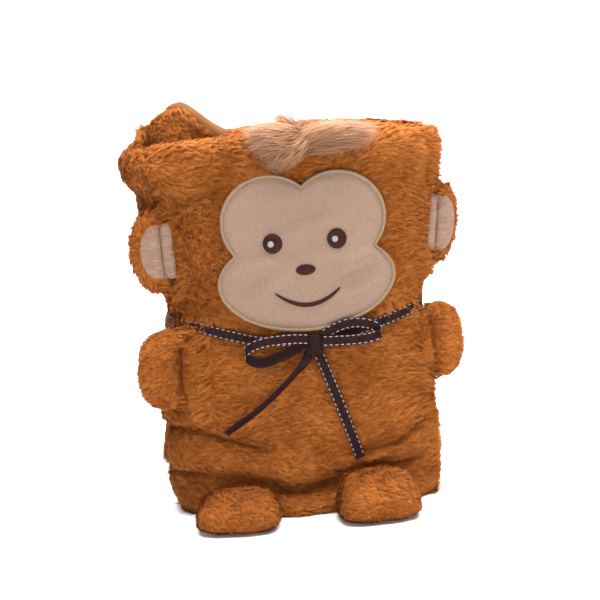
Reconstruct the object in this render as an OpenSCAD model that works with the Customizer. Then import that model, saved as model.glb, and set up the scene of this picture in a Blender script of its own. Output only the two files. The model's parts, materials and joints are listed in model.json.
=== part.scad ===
// A plush baby blanket, folded double, rolled up and tied so that it makes a monkey.
// Sizes in mm. Z is up, the face looks along -Y, and the base stands on z = 0.

/* [Blanket roll] */
// Height of the roll from its base to the rim
roll_h = 352; // [320:1:410]
// Width across the base
base_w = 256; // [240:1:272]
// Width across the hips, the widest part of the body
hip_w = 259; // [244:1:290]
// Height of the hips
hip_z = 46; // [35:1:65]
// Height of the tuck in front, where the belly hangs over the hem
hem_z = 22; // [16:1:30]
// Depth of that tuck
hem_in = 5; // [0:0.5:7]
// Width across the chest, where the arms are sewn
chest_w = 248; // [236:1:266]
// Height of the chest
chest_z = 138; // [128:1:146]
// Width of the neck under the ribbon
neck_w = 230; // [216:1:240]
// Height of the neck at its sides and its back
neck_z = 186; // [178:1:194]
// Dip of the neck in front, under the face
neck_dip = 21; // [8:1:24]
// Width of the head at the ears
head_w = 262; // [248:1:276]
// Height of the ears' middle
head_z = 254; // [245:1:268]
// Width across the open rim
top_w = 286; // [272:1:310]
// Depth of the body, front to back
body_d = 118; // [112:1:134]
// Depth of the neck
neck_d = 106; // [102:1:116]
// Thickness of the folded sheet, pile to pile
sheet_t = 18; // [14:0.5:18.5]
// Squareness of the roll seen from above, 2 is an ellipse
squareness = 2.6; // [2.2:0.1:3]
// Rise of the rim at the middle of the front and the back
rim_crown = 7; // [0:1:15]
// Rise of the inner corner that stands out of the roll
corner_rise = 34; // [15:1:40]
// Rise of the rim at the left end, beside that corner
left_rise = 12; // [0:1:16]
// How far the rim dips at the back, next to the raised corner
back_dip = 7; // [0:1:12]

/* [Face] */
// Sideways place of the face's middle line
face_x = 6; // [-10:1:12]
// Height of the middles of the two brow lobes above the ribbon
brow_z = 106.2; // [100:0.1:110]
// Half width of a brow lobe
brow_rx = 44; // [38:1:46]
// Half height of a brow lobe
brow_rz = 42; // [34:1:43]
// Distance of a brow lobe from the face's middle line
brow_x = 31.5; // [26:0.5:33]
// Half width of the muzzle
muzzle_rx = 82; // [68:1:84]
// Half height of the muzzle
muzzle_rz = 44.5; // [38:0.5:46]
// Drop from the brow lobes to the muzzle's middle
muzzle_drop = 55; // [48:1:56]
// Width of the satin-stitch border
border_w = 3.5; // [2.5:0.5:6]
// Diameter of an eye
eye_d = 18.5; // [12:0.5:22]
// Distance between the middles of the eyes
eye_gap = 62; // [50:1:72]
// Width of the nose
nose_w = 18.5; // [14:0.5:26]
// Width of the mouth
mouth_w = 60; // [40:1:70]

/* [Ears] */
// Reach of an ear from its crease
ear_len = 26; // [24:1:40]
// Half height of an ear
ear_r = 39.5; // [30:0.5:42]
// Half thickness of an ear
ear_t = 7.5; // [6:0.5:10]

/* [Arms] */
// Reach of an arm from its crease
arm_len = 34; // [30:1:46]
// Half height of an arm
arm_r = 37.5; // [30:0.5:40]
// Half thickness of an arm
arm_t = 11; // [7:0.5:12]

/* [Feet] */
// Reach of a foot in front of its seam
foot_len = 54; // [45:1:70]
// Width of a foot
foot_w = 74; // [56:1:82]
// Height of a foot at its seam, left and right
foot_h = [36, 44]; // [28:1:48]
// Sideways place of each foot, left and right
foot_x = [-72, 55]; // [-90:1:90]

/* [Ribbon] */
// Width of the ribbon
ribbon_w = 9.5; // [6:0.5:12]
// Thickness of the ribbon
ribbon_t = 0.8; // [0.5:0.1:1.2]
// Length of a loop of the bow, left and right
loop_len = [60, 58]; // [40:1:70]

/* [Hidden] */
// Clear gap between pieces that lie on each other
gap = 0.4;
// Thickness of one layer of the plush or the velour
cloth_t = 2;
// Radius of a stitched crease
crease_r = 1;
// Radius of the rim's and the base's rounded edge
edge_r = 8;
// First and last angle of the sheet round the roll, counted from +X through the front
sheet_from = 28;
sheet_to = 830;
// Angle of the raised corner, and how far it spreads to the right and to the left
corner_at = 504;
corner_spread = [38, 75];
// Angle of the rim's left end and how far its rise spreads
left_at = 200;
left_spread = 45;
// Angle of the dip at the back and how far it spreads
dip_at = 243;
dip_spread = 26;
// Reach of a crease's line off the skin, and its half length as a share of its flap's half height
crease_off = 3;
crease_share = 0.66;
pitch = (body_d - sheet_t) / 4;
// Sideways place of the roll's middle: the sheet's free edge adds to its right.
roll_x = pitch / 4 - 6.5;

// Numbers and vectors

function ease(u) = let (c = min(1, max(0, u))) c * c * (3 - 2 * c);
function unit(v) = v / norm(v);
function mix(a, b, u) = a + (b - a) * u;
// The place in a pair of values, left then right.
function side(s) = s < 0 ? 0 : 1;

// The value at z in a list of [z, value], eased from each to the next.
function eased(z, keys) =
  let (last = len(keys) - 1)
  z <= keys[0][0] ? keys[0][1] :
  z >= keys[last][0] ? keys[last][1] :
  let (i = max([for (k = [0 : last - 1]) if (keys[k][0] <= z) k]))
  mix(keys[i][1], keys[i + 1][1], ease((z - keys[i][0]) / (keys[i + 1][0] - keys[i][0])));

// A sine or a cosine squared off by the given power.
function squared(v, power) = sign(v) * pow(abs(v), 2 / power);

// The roll: the sheet's middle line runs round at angle a, a pitch further in at each turn

function turns_in(a) = let (q = (a - 270) / 360) floor(q) + ease(2 * (q - floor(q)));
function neck_at(a) = neck_z - neck_dip * pow(max(0, sin(a)), 4);
function width_at(a, z) = eased(z, [[0, base_w], [hip_z, hip_w], [chest_z, chest_w],
  [neck_at(a), neck_w], [head_z, head_w], [roll_h, top_w]]);
function hem_d(a) = body_d * 0.985 - 2 * hem_in * ease(1.5 * sin(a));
function depth_at(a, z) = eased(z, [[0, body_d * 0.97], [hem_z, hem_d(a)], [hip_z, body_d],
  [chest_z, body_d * 0.97], [neck_at(a), neck_d], [head_z, body_d * 0.98], [roll_h, body_d * 1.03]]);
function half_w(a, z) = (width_at(a, z) + pitch / 2 - sheet_t) / 2;
function half_d(a, z) = (depth_at(a, z) - sheet_t) / 2;
hip_half = (hip_w + pitch / 2 - sheet_t) / 2;

function middle(a, z) =
  [roll_x + half_w(a, z) * (1 - turns_in(a) * pitch / hip_half) * squared(cos(a), squareness),
   -half_d(a, z) * (1 - turns_in(a) / 2) * squared(sin(a), squareness)];
function outward(a, z) = let (d = unit(middle(a + 1, z) - middle(a - 1, z))) [-d[1], d[0]];

// The heights at which the roll is drawn, below its rim.
bands = [0, edge_r, hem_z, hip_z, mix(hip_z, chest_z, 0.6), chest_z, neck_z - neck_dip * 1.5,
  neck_z - neck_dip, neck_z - neck_dip * 0.5, neck_z + 2, mix(neck_z, head_z, 0.5), head_z,
  mix(head_z, roll_h, 0.5), roll_h - edge_r];

function true_skin(a, z, off) =
  let (p = middle(a, z) + outward(a, z) * (sheet_t / 2 + off)) [p[0], p[1], z];

// A point off the roll's outer face, straight from one height of the drawing to the next.
function skin(a, z, off) =
  let (last = len(bands) - 1)
  z <= 0 || z >= bands[last] ? true_skin(a, z, off) :
  let (i = max([for (k = [0 : last - 1]) if (bands[k] <= z) k]),
       u = (z - bands[i]) / (bands[i + 1] - bands[i]))
  mix(true_skin(a, bands[i], off), true_skin(a, bands[i + 1], off), u);

// The angle at which the outer turn's front passes x, and the skin there.
function angle_at(x, z) =
  let (c = (x - roll_x) / (half_w(90, z) + sheet_t / 2), d = min(0.985, abs(c)))
  acos(sign(c) * pow(d, squareness / 2));
function front(x, z, off) = skin(angle_at(x, z), z, off);

function rim_at(a) = roll_h + rim_crown * pow(sin(a), 2)
  + corner_rise * ease(1 - abs(a - corner_at) / corner_spread[side(a - corner_at)])
  + left_rise * ease(1 - abs(a - left_at) / left_spread)
  - back_dip * ease(1 - abs(a - dip_at) / dip_spread);

// Solids from rows and rings of points

// Between two grids of points: rows run up and columns run left to right, seen from the front.
module slab(front_rows, back_rows) {
  rows = len(front_rows);
  cols = len(front_rows[0]);
  n = rows * cols;
  top = (rows - 1) * cols;
  function at(k, i) = k * cols + i;
  grid = [for (k = [0 : rows - 2], i = [0 : cols - 2])
    [at(k, i), at(k + 1, i), at(k + 1, i + 1), at(k, i + 1)]];
  polyhedron(
    points = concat([for (r = front_rows) each r], [for (r = back_rows) each r]),
    faces = concat(
      [for (q = grid) each [[q[0], q[1], q[2]], [q[0], q[2], q[3]]]],
      [for (q = grid) each [[n + q[0], n + q[2], n + q[1]], [n + q[0], n + q[3], n + q[2]]]],
      [for (i = [0 : cols - 2]) each [[i, i + 1, n + i + 1], [i, n + i + 1, n + i]]],
      [for (i = [0 : cols - 2]) each
        [[top + i + 1, top + i, n + top + i], [top + i + 1, n + top + i, n + top + i + 1]]],
      [for (k = [0 : rows - 2]) each
        [[at(k + 1, 0), at(k, 0), n + at(k, 0)], [at(k + 1, 0), n + at(k, 0), n + at(k + 1, 0)]]],
      [for (k = [0 : rows - 2]) each let (a = at(k, cols - 1), b = at(k + 1, cols - 1))
        [[a, b, n + b], [a, n + b, n + a]]]));
}

// Through a row of sections, each a ring that turns right-handed about the way along the row.
module sweep(rings, closed = false) {
  m = len(rings[0]);
  last = len(rings) - 1;
  function at(k, i) = (k % len(rings)) * m + i % m;
  polyhedron(
    points = [for (r = rings) each r],
    faces = concat(
      [for (k = [0 : closed ? last : last - 1], i = [0 : m - 1]) each
        [[at(k, i), at(k + 1, i + 1), at(k, i + 1)], [at(k, i), at(k + 1, i), at(k + 1, i + 1)]]],
      closed ? [] : [for (i = [1 : m - 2]) each
        [[0, i, i + 1], [at(last, 0), at(last, i + 1), at(last, i)]]]));
}

// Over a flat outline that turns left-handed about its back, in rings out from its middle.
// upper and lower give the solid's two faces at a point of the plane and a share of the way out.
module pillow(outline, mid, shares, upper, lower) {
  m = len(outline);
  last = len(shares) - 1;
  n = 1 + m * len(shares);
  function at(j, i) = 1 + j * m + i % m;
  flat = [for (s = shares) [for (p = outline) mid + (p - mid) * s]];
  function faced(face) = concat([face(mid, 0)],
    [for (j = [0 : last]) each [for (p = flat[j]) face(p, shares[j])]]);
  tris = concat(
    [for (i = [0 : m - 1]) [0, at(0, i + 1), at(0, i)]],
    last < 1 ? [] : [for (j = [0 : last - 1], i = [0 : m - 1]) each
      [[at(j, i), at(j, i + 1), at(j + 1, i + 1)], [at(j, i), at(j + 1, i + 1), at(j + 1, i)]]]);
  polyhedron(
    points = concat(faced(upper), faced(lower)),
    faces = concat(tris, [for (t = tris) [n + t[0], n + t[2], n + t[1]]],
      [for (i = [0 : m - 1]) each
        [[at(last, i), at(last, i + 1), n + at(last, i + 1)],
         [at(last, i), n + at(last, i + 1), n + at(last, i)]]]));
}

// The flat section of a ribbon at p, along d and facing n.
function band_ring(p, d, n, w) =
  let (e = unit(cross(n, d)) * w / 2, t = unit(n) * ribbon_t / 2)
  [p - e - t, p + e - t, p + e + t, p - e + t];
function way(path, i) =
  unit(path[min(i + 1, len(path) - 1)] - path[max(i - 1, 0)]);

// Blanket

stations = concat([sheet_from, sheet_from + 3], [for (a = [38 : 9 : 146]) a],
  [for (a = [162 : 17 : 400]) a], [for (a = [422 : 24 : sheet_to - 3]) a], [sheet_to]);

function end_share(i) = i == 0 || i == len(stations) - 1 ? 0.6 : 1;
function sheet_row(z_of, share, side) = [for (i = [0 : len(stations) - 1])
  let (a = stations[i], z = z_of(a), p = middle(a, min(z, roll_h)),
       q = p + outward(a, min(z, roll_h)) * side * share * end_share(i) * sheet_t / 2)
  [q[0], q[1], z]];
function sheet_rows(side) = concat(
  [sheet_row(function(a) 0, 0.8, side)],
  [for (k = [1 : len(bands) - 2]) sheet_row(function(a) bands[k], 1, side)],
  [sheet_row(function(a) rim_at(a) - edge_r, 1, side)],
  [sheet_row(function(a) rim_at(a), 0.5, side)]);

module blanket_roll()
  color("sienna") slab(sheet_rows(-1), sheet_rows(1));

module edge_binding() {
  ends = [for (a = [corner_at + 10 : -8 : corner_at - 30]) a];
  function tape(off) = [for (k = [[-18, 1], [-edge_r, 1], [-0.5, 0.55]]) [for (a = ends)
    let (z = rim_at(a), q = middle(a, roll_h) + outward(a, roll_h) * (k[1] * sheet_t / 2 + off))
    [q[0], q[1], z + k[0]]]];
  color("tan") slab(tape(3 * gap + 1.4), tape(3 * gap));
}

// Face: outlines in the plane of x and z, laid on the roll's front

// The face is a muzzle and two brow lobes, all ovals, seen from its middle.
brow_at = neck_at(90) + ribbon_w / 2 + brow_z;
face_z = brow_at - muzzle_drop * 0.52;
lobes = [[-brow_x, brow_at - face_z, brow_rx, brow_rz], [brow_x, brow_at - face_z, brow_rx, brow_rz],
  [0, brow_at - muzzle_drop - face_z, muzzle_rx, muzzle_rz]];
// How far a ray at angle t from the face's middle runs to a lobe's far side.
function reach(t, lobe) =
  let (d = [cos(t) / lobe[2], sin(t) / lobe[3]], c = [lobe[0] / lobe[2], lobe[1] / lobe[3]],
       a = d * d, b = d * c, in_root = b * b - a * (c * c - 1))
  in_root < 0 ? 0 : (b + sqrt(in_root)) / a;
function face_ring(extra) = [for (i = [0 : 47]) let (t = i * 7.5,
    r = max([for (lobe = lobes) reach(t, lobe)]) + extra)
  [face_x + r * cos(t), face_z + r * sin(t)]];
function oval(x, z, w, h, n) = [for (i = [0 : n - 1])
  [x + w / 2 * cos(360 * i / n), z + h / 2 * sin(360 * i / n)]];

patch_top = gap + cloth_t;
eye_z = brow_at - 20;
nose_z = brow_at - 47;
mouth_z = brow_at - 80;
mouth_sag = 13;
stitch_top = patch_top + gap + 1.2;

module on_face(outline, mid, shares, lo, hi)
  pillow(outline, mid, shares,
    function(p, s) front(p[0], p[1], hi), function(p, s) front(p[0], p[1], lo));

module face_patch()
  color("burlywood") on_face(face_ring(0), [face_x, face_z],
    [0.18, 0.35, 0.5, 0.64, 0.77, 0.89, 1], gap, patch_top);

module face_border() {
  inside = face_ring(0.3);
  outside = face_ring(border_w);
  color("darkkhaki") sweep([for (i = [0 : len(inside) - 1])
    let (a = inside[i], b = outside[i], m = (a + b) / 2)
    [front(a[0], a[1], gap), front(a[0], a[1], patch_top), front(m[0], m[1], patch_top + 0.9),
     front(b[0], b[1], patch_top), front(b[0], b[1], gap)]], closed = true);
}

module eye(s) {
  mid = [face_x + s * eye_gap / 2, eye_z];
  color("saddlebrown") on_face(oval(mid[0], mid[1], eye_d, eye_d, 16), mid, [0.5, 1],
    patch_top + gap, stitch_top);
}

module eye_glint(s) {
  mid = [face_x + s * eye_gap / 2 - eye_d * 0.1, eye_z];
  color("gainsboro") on_face(oval(mid[0], mid[1], eye_d * 0.3, eye_d * 0.3, 10), mid, [1],
    stitch_top + gap, stitch_top + gap + 0.6);
}

module nose() {
  mid = [face_x, nose_z];
  color("saddlebrown") on_face(oval(mid[0], mid[1], nose_w, nose_w * 0.54, 16), mid, [0.5, 1],
    patch_top + gap, stitch_top);
}

module mouth() {
  half = [for (u = [-1 : 0.1667 : 1.01]) u];
  function line(u, up) = [face_x + u * mouth_w / 2, mouth_z + mouth_sag * u * u + up * (2 - u * u)];
  function row(up, off) = [for (u = half) let (p = line(u, up)) front(p[0], p[1], off)];
  color("saddlebrown") slab([row(-1, stitch_top), row(1, stitch_top)],
    [row(-1, patch_top + gap), row(1, patch_top + gap)]);
}

// Hair: locks swept from a backing tape at the brow

hair_z = roll_h - 22;

module hair_backing() {
  xs = [for (x = [face_x - 24 : 12 : face_x + 48]) x];
  function row(z, off) = [for (x = xs) front(x, z, off)];
  color("rosybrown") slab([row(hair_z, gap + 1.2), row(hair_z + 13, gap + 1.2)],
    [row(hair_z, gap), row(hair_z + 13, gap)]);
}

// One lock: from x on the backing, to a tip off to the side and up or down, bowed to the front.
module lock(x, run, rise, bow, r) {
  root = front(face_x + x, hair_z + 7, gap + 1.2 + gap + r);
  tip = front(face_x + x + run, hair_z + 7, gap + 3.5) + [0, 0, rise];
  path = [for (i = [0 : 5]) let (u = i / 5)
    mix(root, tip, u) + [0, -bow * sin(180 * u), 0.35 * bow * sin(180 * u)]];
  sweep([for (i = [0 : 5]) let (d = way(path, i), e = unit(cross(d, [0, -1, 0.2])),
      f = cross(d, e), q = r * (i == 5 ? 0.2 : 1 - 0.1 * i))
    [for (j = [0 : 6]) path[i] + q * (e * cos(j * 360 / 7) + f * sin(j * 360 / 7))]]);
}

module hair_tuft() color("rosybrown") {
  lock(-20, -22, -10, 5, 6);
  lock(-7.5, -14, -22, 9, 6);
  lock(5, -4, 30, 4, 6);
  lock(17.5, 0, -14, 10, 6);
  lock(30, 22, 14, 7, 6);
  lock(42.5, 36, 3, 8, 6);
}

// Ears and arms: stuffed flaps that fold about a stitched crease beside a root strip

// Where a flap is sewn: its middle's height, its half height, its crease's distance from the middle
// of the body, its turn to the front in degrees, how upright its crease is, and its root's width.
function ear_site(s) = [head_z + [2, 8][side(s)], ear_r, [122.5, 124][side(s)],
  [-10, -36][side(s)], [0.8, 0.2][side(s)], 11];
function arm_site(s) = [chest_z + [7, 13][side(s)], arm_r, [115, 113][side(s)],
  [8, -25][side(s)], 0.6, 13];

// The straight line between two heights of the skin at angle a, pushed out until it clears the skin.
function clear_line(a, z0, z1, off, upright) =
  let (p0 = skin(a, z0, 0), q0 = skin(a, z1, 0), n = outward(a, (z0 + z1) / 2), n3 = [n[0], n[1], 0],
       lean = [q0[0] - p0[0], q0[1] - p0[1], 0] / 2 * upright, p = p0 + lean, q = q0 - lean,
       bulge = max([for (k = [0 : 0.125 : 1]) (skin(a, mix(z0, z1, k), 0) - mix(p, q, k)) * n3]))
  [p + n3 * (off + bulge), q + n3 * (off + bulge)];
// The crease's two ends, from the bottom up.
function crease_angle(s, site, back) = angle_at(s * (site[2] - back), site[0]);
function crease_ends(s, site) = clear_line(crease_angle(s, site, 0),
  site[0] - crease_share * site[1], site[0] + crease_share * site[1], crease_off, site[4]);
// Its frame: the middle, the way out, the way along (up on the right) and the way to the front.
function crease_frame(s, site) =
  let (ends = crease_ends(s, site), v = s * unit(ends[1] - ends[0]),
       u0 = [s * cos(site[3]), -sin(site[3]), 0], u = unit(u0 - v * (u0 * v)))
  [(ends[0] + ends[1]) / 2, u, v, cross(u, v)];
function placed(frame, u, v, w) = frame[0] + frame[1] * u + frame[2] * v + frame[3] * w;

flap_in = crease_r + 0.35;
function flap_ring(reach, r, power) = concat(
  [for (i = [0 : 12]) let (t = -90 + 15 * i)
    [flap_in + reach * squared(cos(t), power), r * squared(sin(t), power)]],
  [for (k = [0.55, 0, -0.55]) [flap_in, r * k]]);
// A flap's half thickness at a share of the way out, and inside its cloth.
function swell(t, s) = 1.1 + (t - 1.1) * sqrt(max(0, 1 - s * s));
function swell_in(t, s) = max(0.15, swell(t, s) - cloth_t);

module flap(frame, ring, mid, shares, hi, lo)
  pillow(ring, mid, shares,
    function(p, s) placed(frame, p[0], p[1], hi(s)),
    function(p, s) placed(frame, p[0], p[1], lo(s)));

module crease(s, site) {
  ends = crease_ends(s, site);
  d = ends[1] - ends[0];
  translate(ends[0])
    rotate([0, acos(d[2] / norm(d)), atan2(d[1], d[0])])
      cylinder(h = norm(d), r = crease_r, $fn = 24);
}

// The root strip runs from its seam on the roll out to the crease.
module root(s, site) {
  ends = crease_ends(s, site);
  axis = unit(ends[1] - ends[0]);
  steps = s > 0 ? [0 : 4] : [4 : -1 : 0];
  function face(k, front_side) =
    let (p = mix(ends[0], ends[1], k), seam = skin(crease_angle(s, site, site[5]), p[2], gap),
         inward = unit(seam - p), n = s * unit(cross(axis, inward)), q = p + inward * (crease_r + 0.1),
         lift = max([for (u = [0.25, 0.5, 0.75])
           (skin(crease_angle(s, site, site[5] * (1 - u)), p[2], gap + u) - mix(seam, q, u)) * n, 0]))
    [for (i = steps) let (u = i / 4)
      mix(seam, q, u) + n * (lift * sin(180 * u) + (front_side ? 1 + 2.6 * sin(180 * u) : -u))];
  rows = [0.02, 0.26, 0.5, 0.71, 0.92];
  slab([for (k = rows) face(k, true)], [for (k = rows) face(k, false)]);
}

ear_ring = flap_ring(ear_len, ear_r, 2.1);
ear_mid = [ear_len * 0.42, 0];
lining_share = 0.76;

module ear_root(s) color("burlywood") root(s, ear_site(s));
module ear_crease(s) color("saddlebrown") crease(s, ear_site(s));
module ear_shell(s)
  color("sienna") flap(crease_frame(s, ear_site(s)), ear_ring, ear_mid,
    [0.4, lining_share, lining_share + 0.03, 0.93, 1],
    function(t) t > lining_share ? swell(ear_t, t) : -swell_in(ear_t, t),
    function(t) -swell(ear_t, t));
module ear_lining(s)
  color("burlywood") flap(crease_frame(s, ear_site(s)), ear_ring, ear_mid,
    [0.4, lining_share - 0.02],
    function(t) swell(ear_t, t) - 1, function(t) swell_in(ear_t, t) - 1);
module ear_filling(s)
  color("white") flap(crease_frame(s, ear_site(s)), ear_ring, ear_mid,
    [0.4, lining_share - 0.02],
    function(t) swell_in(ear_t, t) - 1.2, function(t) -swell_in(ear_t, t) + 0.2);

arm_ring = flap_ring(arm_len, arm_r, 2.7);
arm_mid = [arm_len * 0.46, 0];
arm_shares = [0.45, 0.8, 0.94, 1];

module arm_root(s) color("sienna") root(s, arm_site(s));
module arm_crease(s) color("saddlebrown") crease(s, arm_site(s));
module arm_front(s)
  color("sienna") flap(crease_frame(s, arm_site(s)), arm_ring, arm_mid, arm_shares,
    function(t) swell(arm_t, t), function(t) swell_in(arm_t, t));
module arm_back(s)
  color("sienna") flap(crease_frame(s, arm_site(s)), arm_ring, arm_mid, arm_shares,
    function(t) -swell_in(arm_t, t), function(t) -swell(arm_t, t));
module arm_filling(s)
  color("white") flap(crease_frame(s, arm_site(s)), arm_ring, arm_mid, [0.45, 0.8],
    function(t) swell_in(arm_t, t) - 0.2, function(t) -swell_in(arm_t, t) + 0.2);

// Feet: stuffed pads that lift about the seam under the belly

function seam_z(s) = foot_h[side(s)] - 4;
function seam_ends(s) =
  let (x = foot_x[side(s)], w = foot_w * 0.42, z = seam_z(s), p = front(x - w, z, 0),
       q = front(x + w, z, 0), n = unit(cross(q - p, [0, 0, 1])),
       bulge = max([for (k = [0 : 0.1 : 1]) (front(mix(x - w, x + w, k), z, 0) - mix(p, q, k)) * n]))
  [for (end = [p, q]) end + n * (bulge + crease_r + gap)];
// The seam's frame: its middle, the way to the toes, the way along to +X and the way up.
function foot_frame(s) =
  let (ends = seam_ends(s), v = unit(ends[1] - ends[0]))
  [(ends[0] + ends[1]) / 2, cross(v, [0, 0, 1]), v, [0, 0, 1]];

foot_in = 0.6;
foot_ring = [for (i = [0 : 19]) let (t = 18 * i)
  [foot_in + foot_len / 2 * (1 + squared(cos(t), 3)), foot_w / 2 * squared(sin(t), 3)]];
foot_mid = [foot_len * 0.4, 0];
rim_z = 9;
sole_rise = 5;

function sole_z(t) = sole_rise * pow(t, 8);
function upper_z(h, u, t) = rim_z + (h - 9 * u / foot_len - rim_z) * pow(max(0, 1 - pow(t, 4)), 0.5);

module foot_part(s, shares, hi, lo) {
  frame = foot_frame(s);
  h = foot_h[side(s)];
  z0 = frame[0][2];
  pillow(foot_ring, foot_mid, shares,
    function(p, t) placed(frame, p[0], p[1], hi(h, p[0], t) - z0),
    function(p, t) placed(frame, p[0], p[1], lo(h, p[0], t) - z0));
}

module foot_seam(s) {
  ends = seam_ends(s);
  d = ends[1] - ends[0];
  color("saddlebrown") translate(ends[0])
    rotate([0, 90, atan2(d[1], d[0])]) cylinder(h = norm(d), r = crease_r, $fn = 24);
}
module foot_upper(s)
  color("sienna") foot_part(s, [0.5, 0.82, 0.93, 0.98, 1],
    function(h, u, t) upper_z(h, u, t),
    function(h, u, t) max(sole_z(t) + cloth_t + 0.3, upper_z(h, u, t) - cloth_t));
module foot_sole(s)
  color("sienna") foot_part(s, [0.5, 0.8, 0.92, 1],
    function(h, u, t) sole_z(t) + cloth_t, function(h, u, t) sole_z(t));
module foot_filling(s)
  color("white") foot_part(s, [0.5, 0.82, 0.93],
    function(h, u, t) upper_z(h, u, t) - cloth_t - 0.3, function(h, u, t) sole_z(t) + cloth_t + 0.3);

// Ribbon

knot_x = face_x + 3;
knot_w = 13;
knot_h = 12;
knot_t = 8;
knot_z = neck_at(90);

// Halfway through the band at angle a, clear of the skin over its whole width.
function band_point(a) =
  let (p = skin(a, neck_at(a), 0), n = outward(a, neck_at(a)), n3 = [n[0], n[1], 0],
       bulge = max([for (k = [-1.2, -0.6, 0, 0.6, 1.2])
         (skin(a, neck_at(a) + k * ribbon_w / 2, 0) - p) * n3]))
  p + n3 * (bulge + gap + 0.6 + ribbon_t / 2);
// The band leaves the roll behind the free edge, and runs straight to that edge.
function bearing(a) = let (d = band_point(a) - band_point(sheet_from)) atan2(d[1], d[0]);
leave_at = let (behind = [for (a = [sheet_from + 264 : 8 : sheet_from + 344]) a],
    low = min([for (a = behind) bearing(a)]))
  [for (a = behind) if (bearing(a) == low) a][0];

module ribbon_band() {
  angles = [for (a = [sheet_from : 8 : leave_at]) a];
  path = [for (a = angles) band_point(a)];
  n = len(path);
  color("saddlebrown") sweep([for (i = [0 : n - 1])
    let (d = unit(path[(i + 1) % n] - path[(i + n - 1) % n]), a = angles[i], out = outward(a, neck_at(a)))
    band_ring(path[i], d, [out[0], out[1], 0] - d * ([out[0], out[1], 0] * d), ribbon_w)], closed = true);
}

// The knot lies on the outermost edge of the band.
knot_y = min([for (k = [-1.2, 0, 1.2])
  front(knot_x, knot_z + k * ribbon_w / 2, gap + 0.6 + ribbon_t + gap)[1]]);
knot_mid = [knot_x, knot_y - knot_t / 2, knot_z];

module bow_knot() {
  ring = oval(0, 0, knot_w, knot_h, 14);
  function deep(t) = knot_t / 2 * (0.35 + 0.65 * sqrt(max(0, 1 - pow(t, 3))));
  color("saddlebrown") pillow(ring, [0, 0], [0.5, 0.85, 1],
    function(p, t) knot_mid + [p[0], -deep(t), p[1]],
    function(p, t) knot_mid + [p[0], deep(t), p[1]]);
}

// A loop leaves the knot high in front and comes back low behind, across the slope of loop_lean.
loop_open = 10;
loop_lean = 44;
loop_steps = 22;
function loop_edge(s) = [0, sin(loop_lean), cos(loop_lean)];
function loop_root(s) = knot_mid + [s * (knot_w / 2 + 0.9), 0.7 - ribbon_w / 2 * sin(loop_lean), 1];
function loop_path(s) = let (reach = loop_len[side(s)], slope = [0, -cos(loop_lean), sin(loop_lean)])
  [for (i = [0 : loop_steps]) let (f = 9 + 342 * i / loop_steps, spread = sin(f) * sin(f / 2))
    loop_root(s) + [s * reach * (1 - cos(f)) / 2 - s * reach * (1 - cos(9)) / 2, -3 * sin(f / 2), 0]
      + slope * (loop_open * spread + (ribbon_t / 2 + gap) * cos(f / 2))];

module bow_loop(s) {
  path = loop_path(s);
  color("saddlebrown") sweep([for (i = [0 : loop_steps])
    let (d = way(path, i)) band_ring(path[i], d, cross(d, loop_edge(s)), ribbon_w)]);
}

// A tail hangs from under the knot down the chest to its cut end.
tail_end = [[-81, 84], [46.5, 50]];
tail_steps = 12;
function tail_path(s) = let (end = tail_end[side(s)],
    start = [knot_x + s * (ribbon_w / 2 - 1.25), knot_z - knot_h / 2 - 6],
    way_down = unit(end - start), from = start + way_down * 2)
  [for (i = [0 : tail_steps]) let (p = mix(from, end, i / tail_steps))
    front(p[0], p[1], gap + 1.4 + (body_d - neck_d) / 60 + 1.2 * sin(180 * i / tail_steps))];

module ribbon_tail(s) {
  path = tail_path(s);
  color("saddlebrown") sweep([for (i = [0 : tail_steps])
    let (d = way(path, i), p = path[i], n = outward(angle_at(p[0], p[2]), p[2]), out = [n[0], n[1], 0])
    band_ring(p, d, out - d * (out * d), ribbon_w)]);
}

// Lines about which the pieces turn, for the record
for (s = [-1, 1]) {
  echo(ear = s, at = crease_frame(s, ear_site(s))[0], along = s * crease_frame(s, ear_site(s))[2]);
  echo(arm = s, at = crease_frame(s, arm_site(s))[0], along = s * crease_frame(s, arm_site(s))[2]);
  echo(foot = s, at = foot_frame(s)[0], along = foot_frame(s)[2]);
  echo(loop = s, at = loop_path(s)[0], along = loop_edge(s));
  echo(tail = s, at = tail_path(s)[0], path = way(tail_path(s), 0));
}

blanket_roll();
edge_binding();
face_patch();
face_border();
eye(-1);  // eye_left
eye(1);  // eye_right
eye_glint(-1);  // eye_glint_left
eye_glint(1);  // eye_glint_right
nose();
mouth();
hair_backing();
hair_tuft();
ear_root(-1);  // ear_root_left
ear_crease(-1);  // ear_crease_left
ear_shell(-1);  // ear_shell_left
ear_lining(-1);  // ear_lining_left
ear_filling(-1);  // ear_filling_left
ear_root(1);  // ear_root_right
ear_crease(1);  // ear_crease_right
ear_shell(1);  // ear_shell_right
ear_lining(1);  // ear_lining_right
ear_filling(1);  // ear_filling_right
arm_root(-1);  // arm_root_left
arm_crease(-1);  // arm_crease_left
arm_front(-1);  // arm_front_left
arm_back(-1);  // arm_back_left
arm_filling(-1);  // arm_filling_left
arm_root(1);  // arm_root_right
arm_crease(1);  // arm_crease_right
arm_front(1);  // arm_front_right
arm_back(1);  // arm_back_right
arm_filling(1);  // arm_filling_right
foot_seam(-1);  // foot_seam_left
foot_upper(-1);  // foot_upper_left
foot_sole(-1);  // foot_sole_left
foot_filling(-1);  // foot_filling_left
foot_seam(1);  // foot_seam_right
foot_upper(1);  // foot_upper_right
foot_sole(1);  // foot_sole_right
foot_filling(1);  // foot_filling_right
ribbon_band();
bow_knot();
bow_loop(-1);  // bow_loop_left
bow_loop(1);  // bow_loop_right
ribbon_tail(-1);  // ribbon_tail_left
ribbon_tail(1);  // ribbon_tail_right
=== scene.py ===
"""A plush baby blanket, rolled and tied so that it makes a monkey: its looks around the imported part."""

import json
import math

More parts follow.
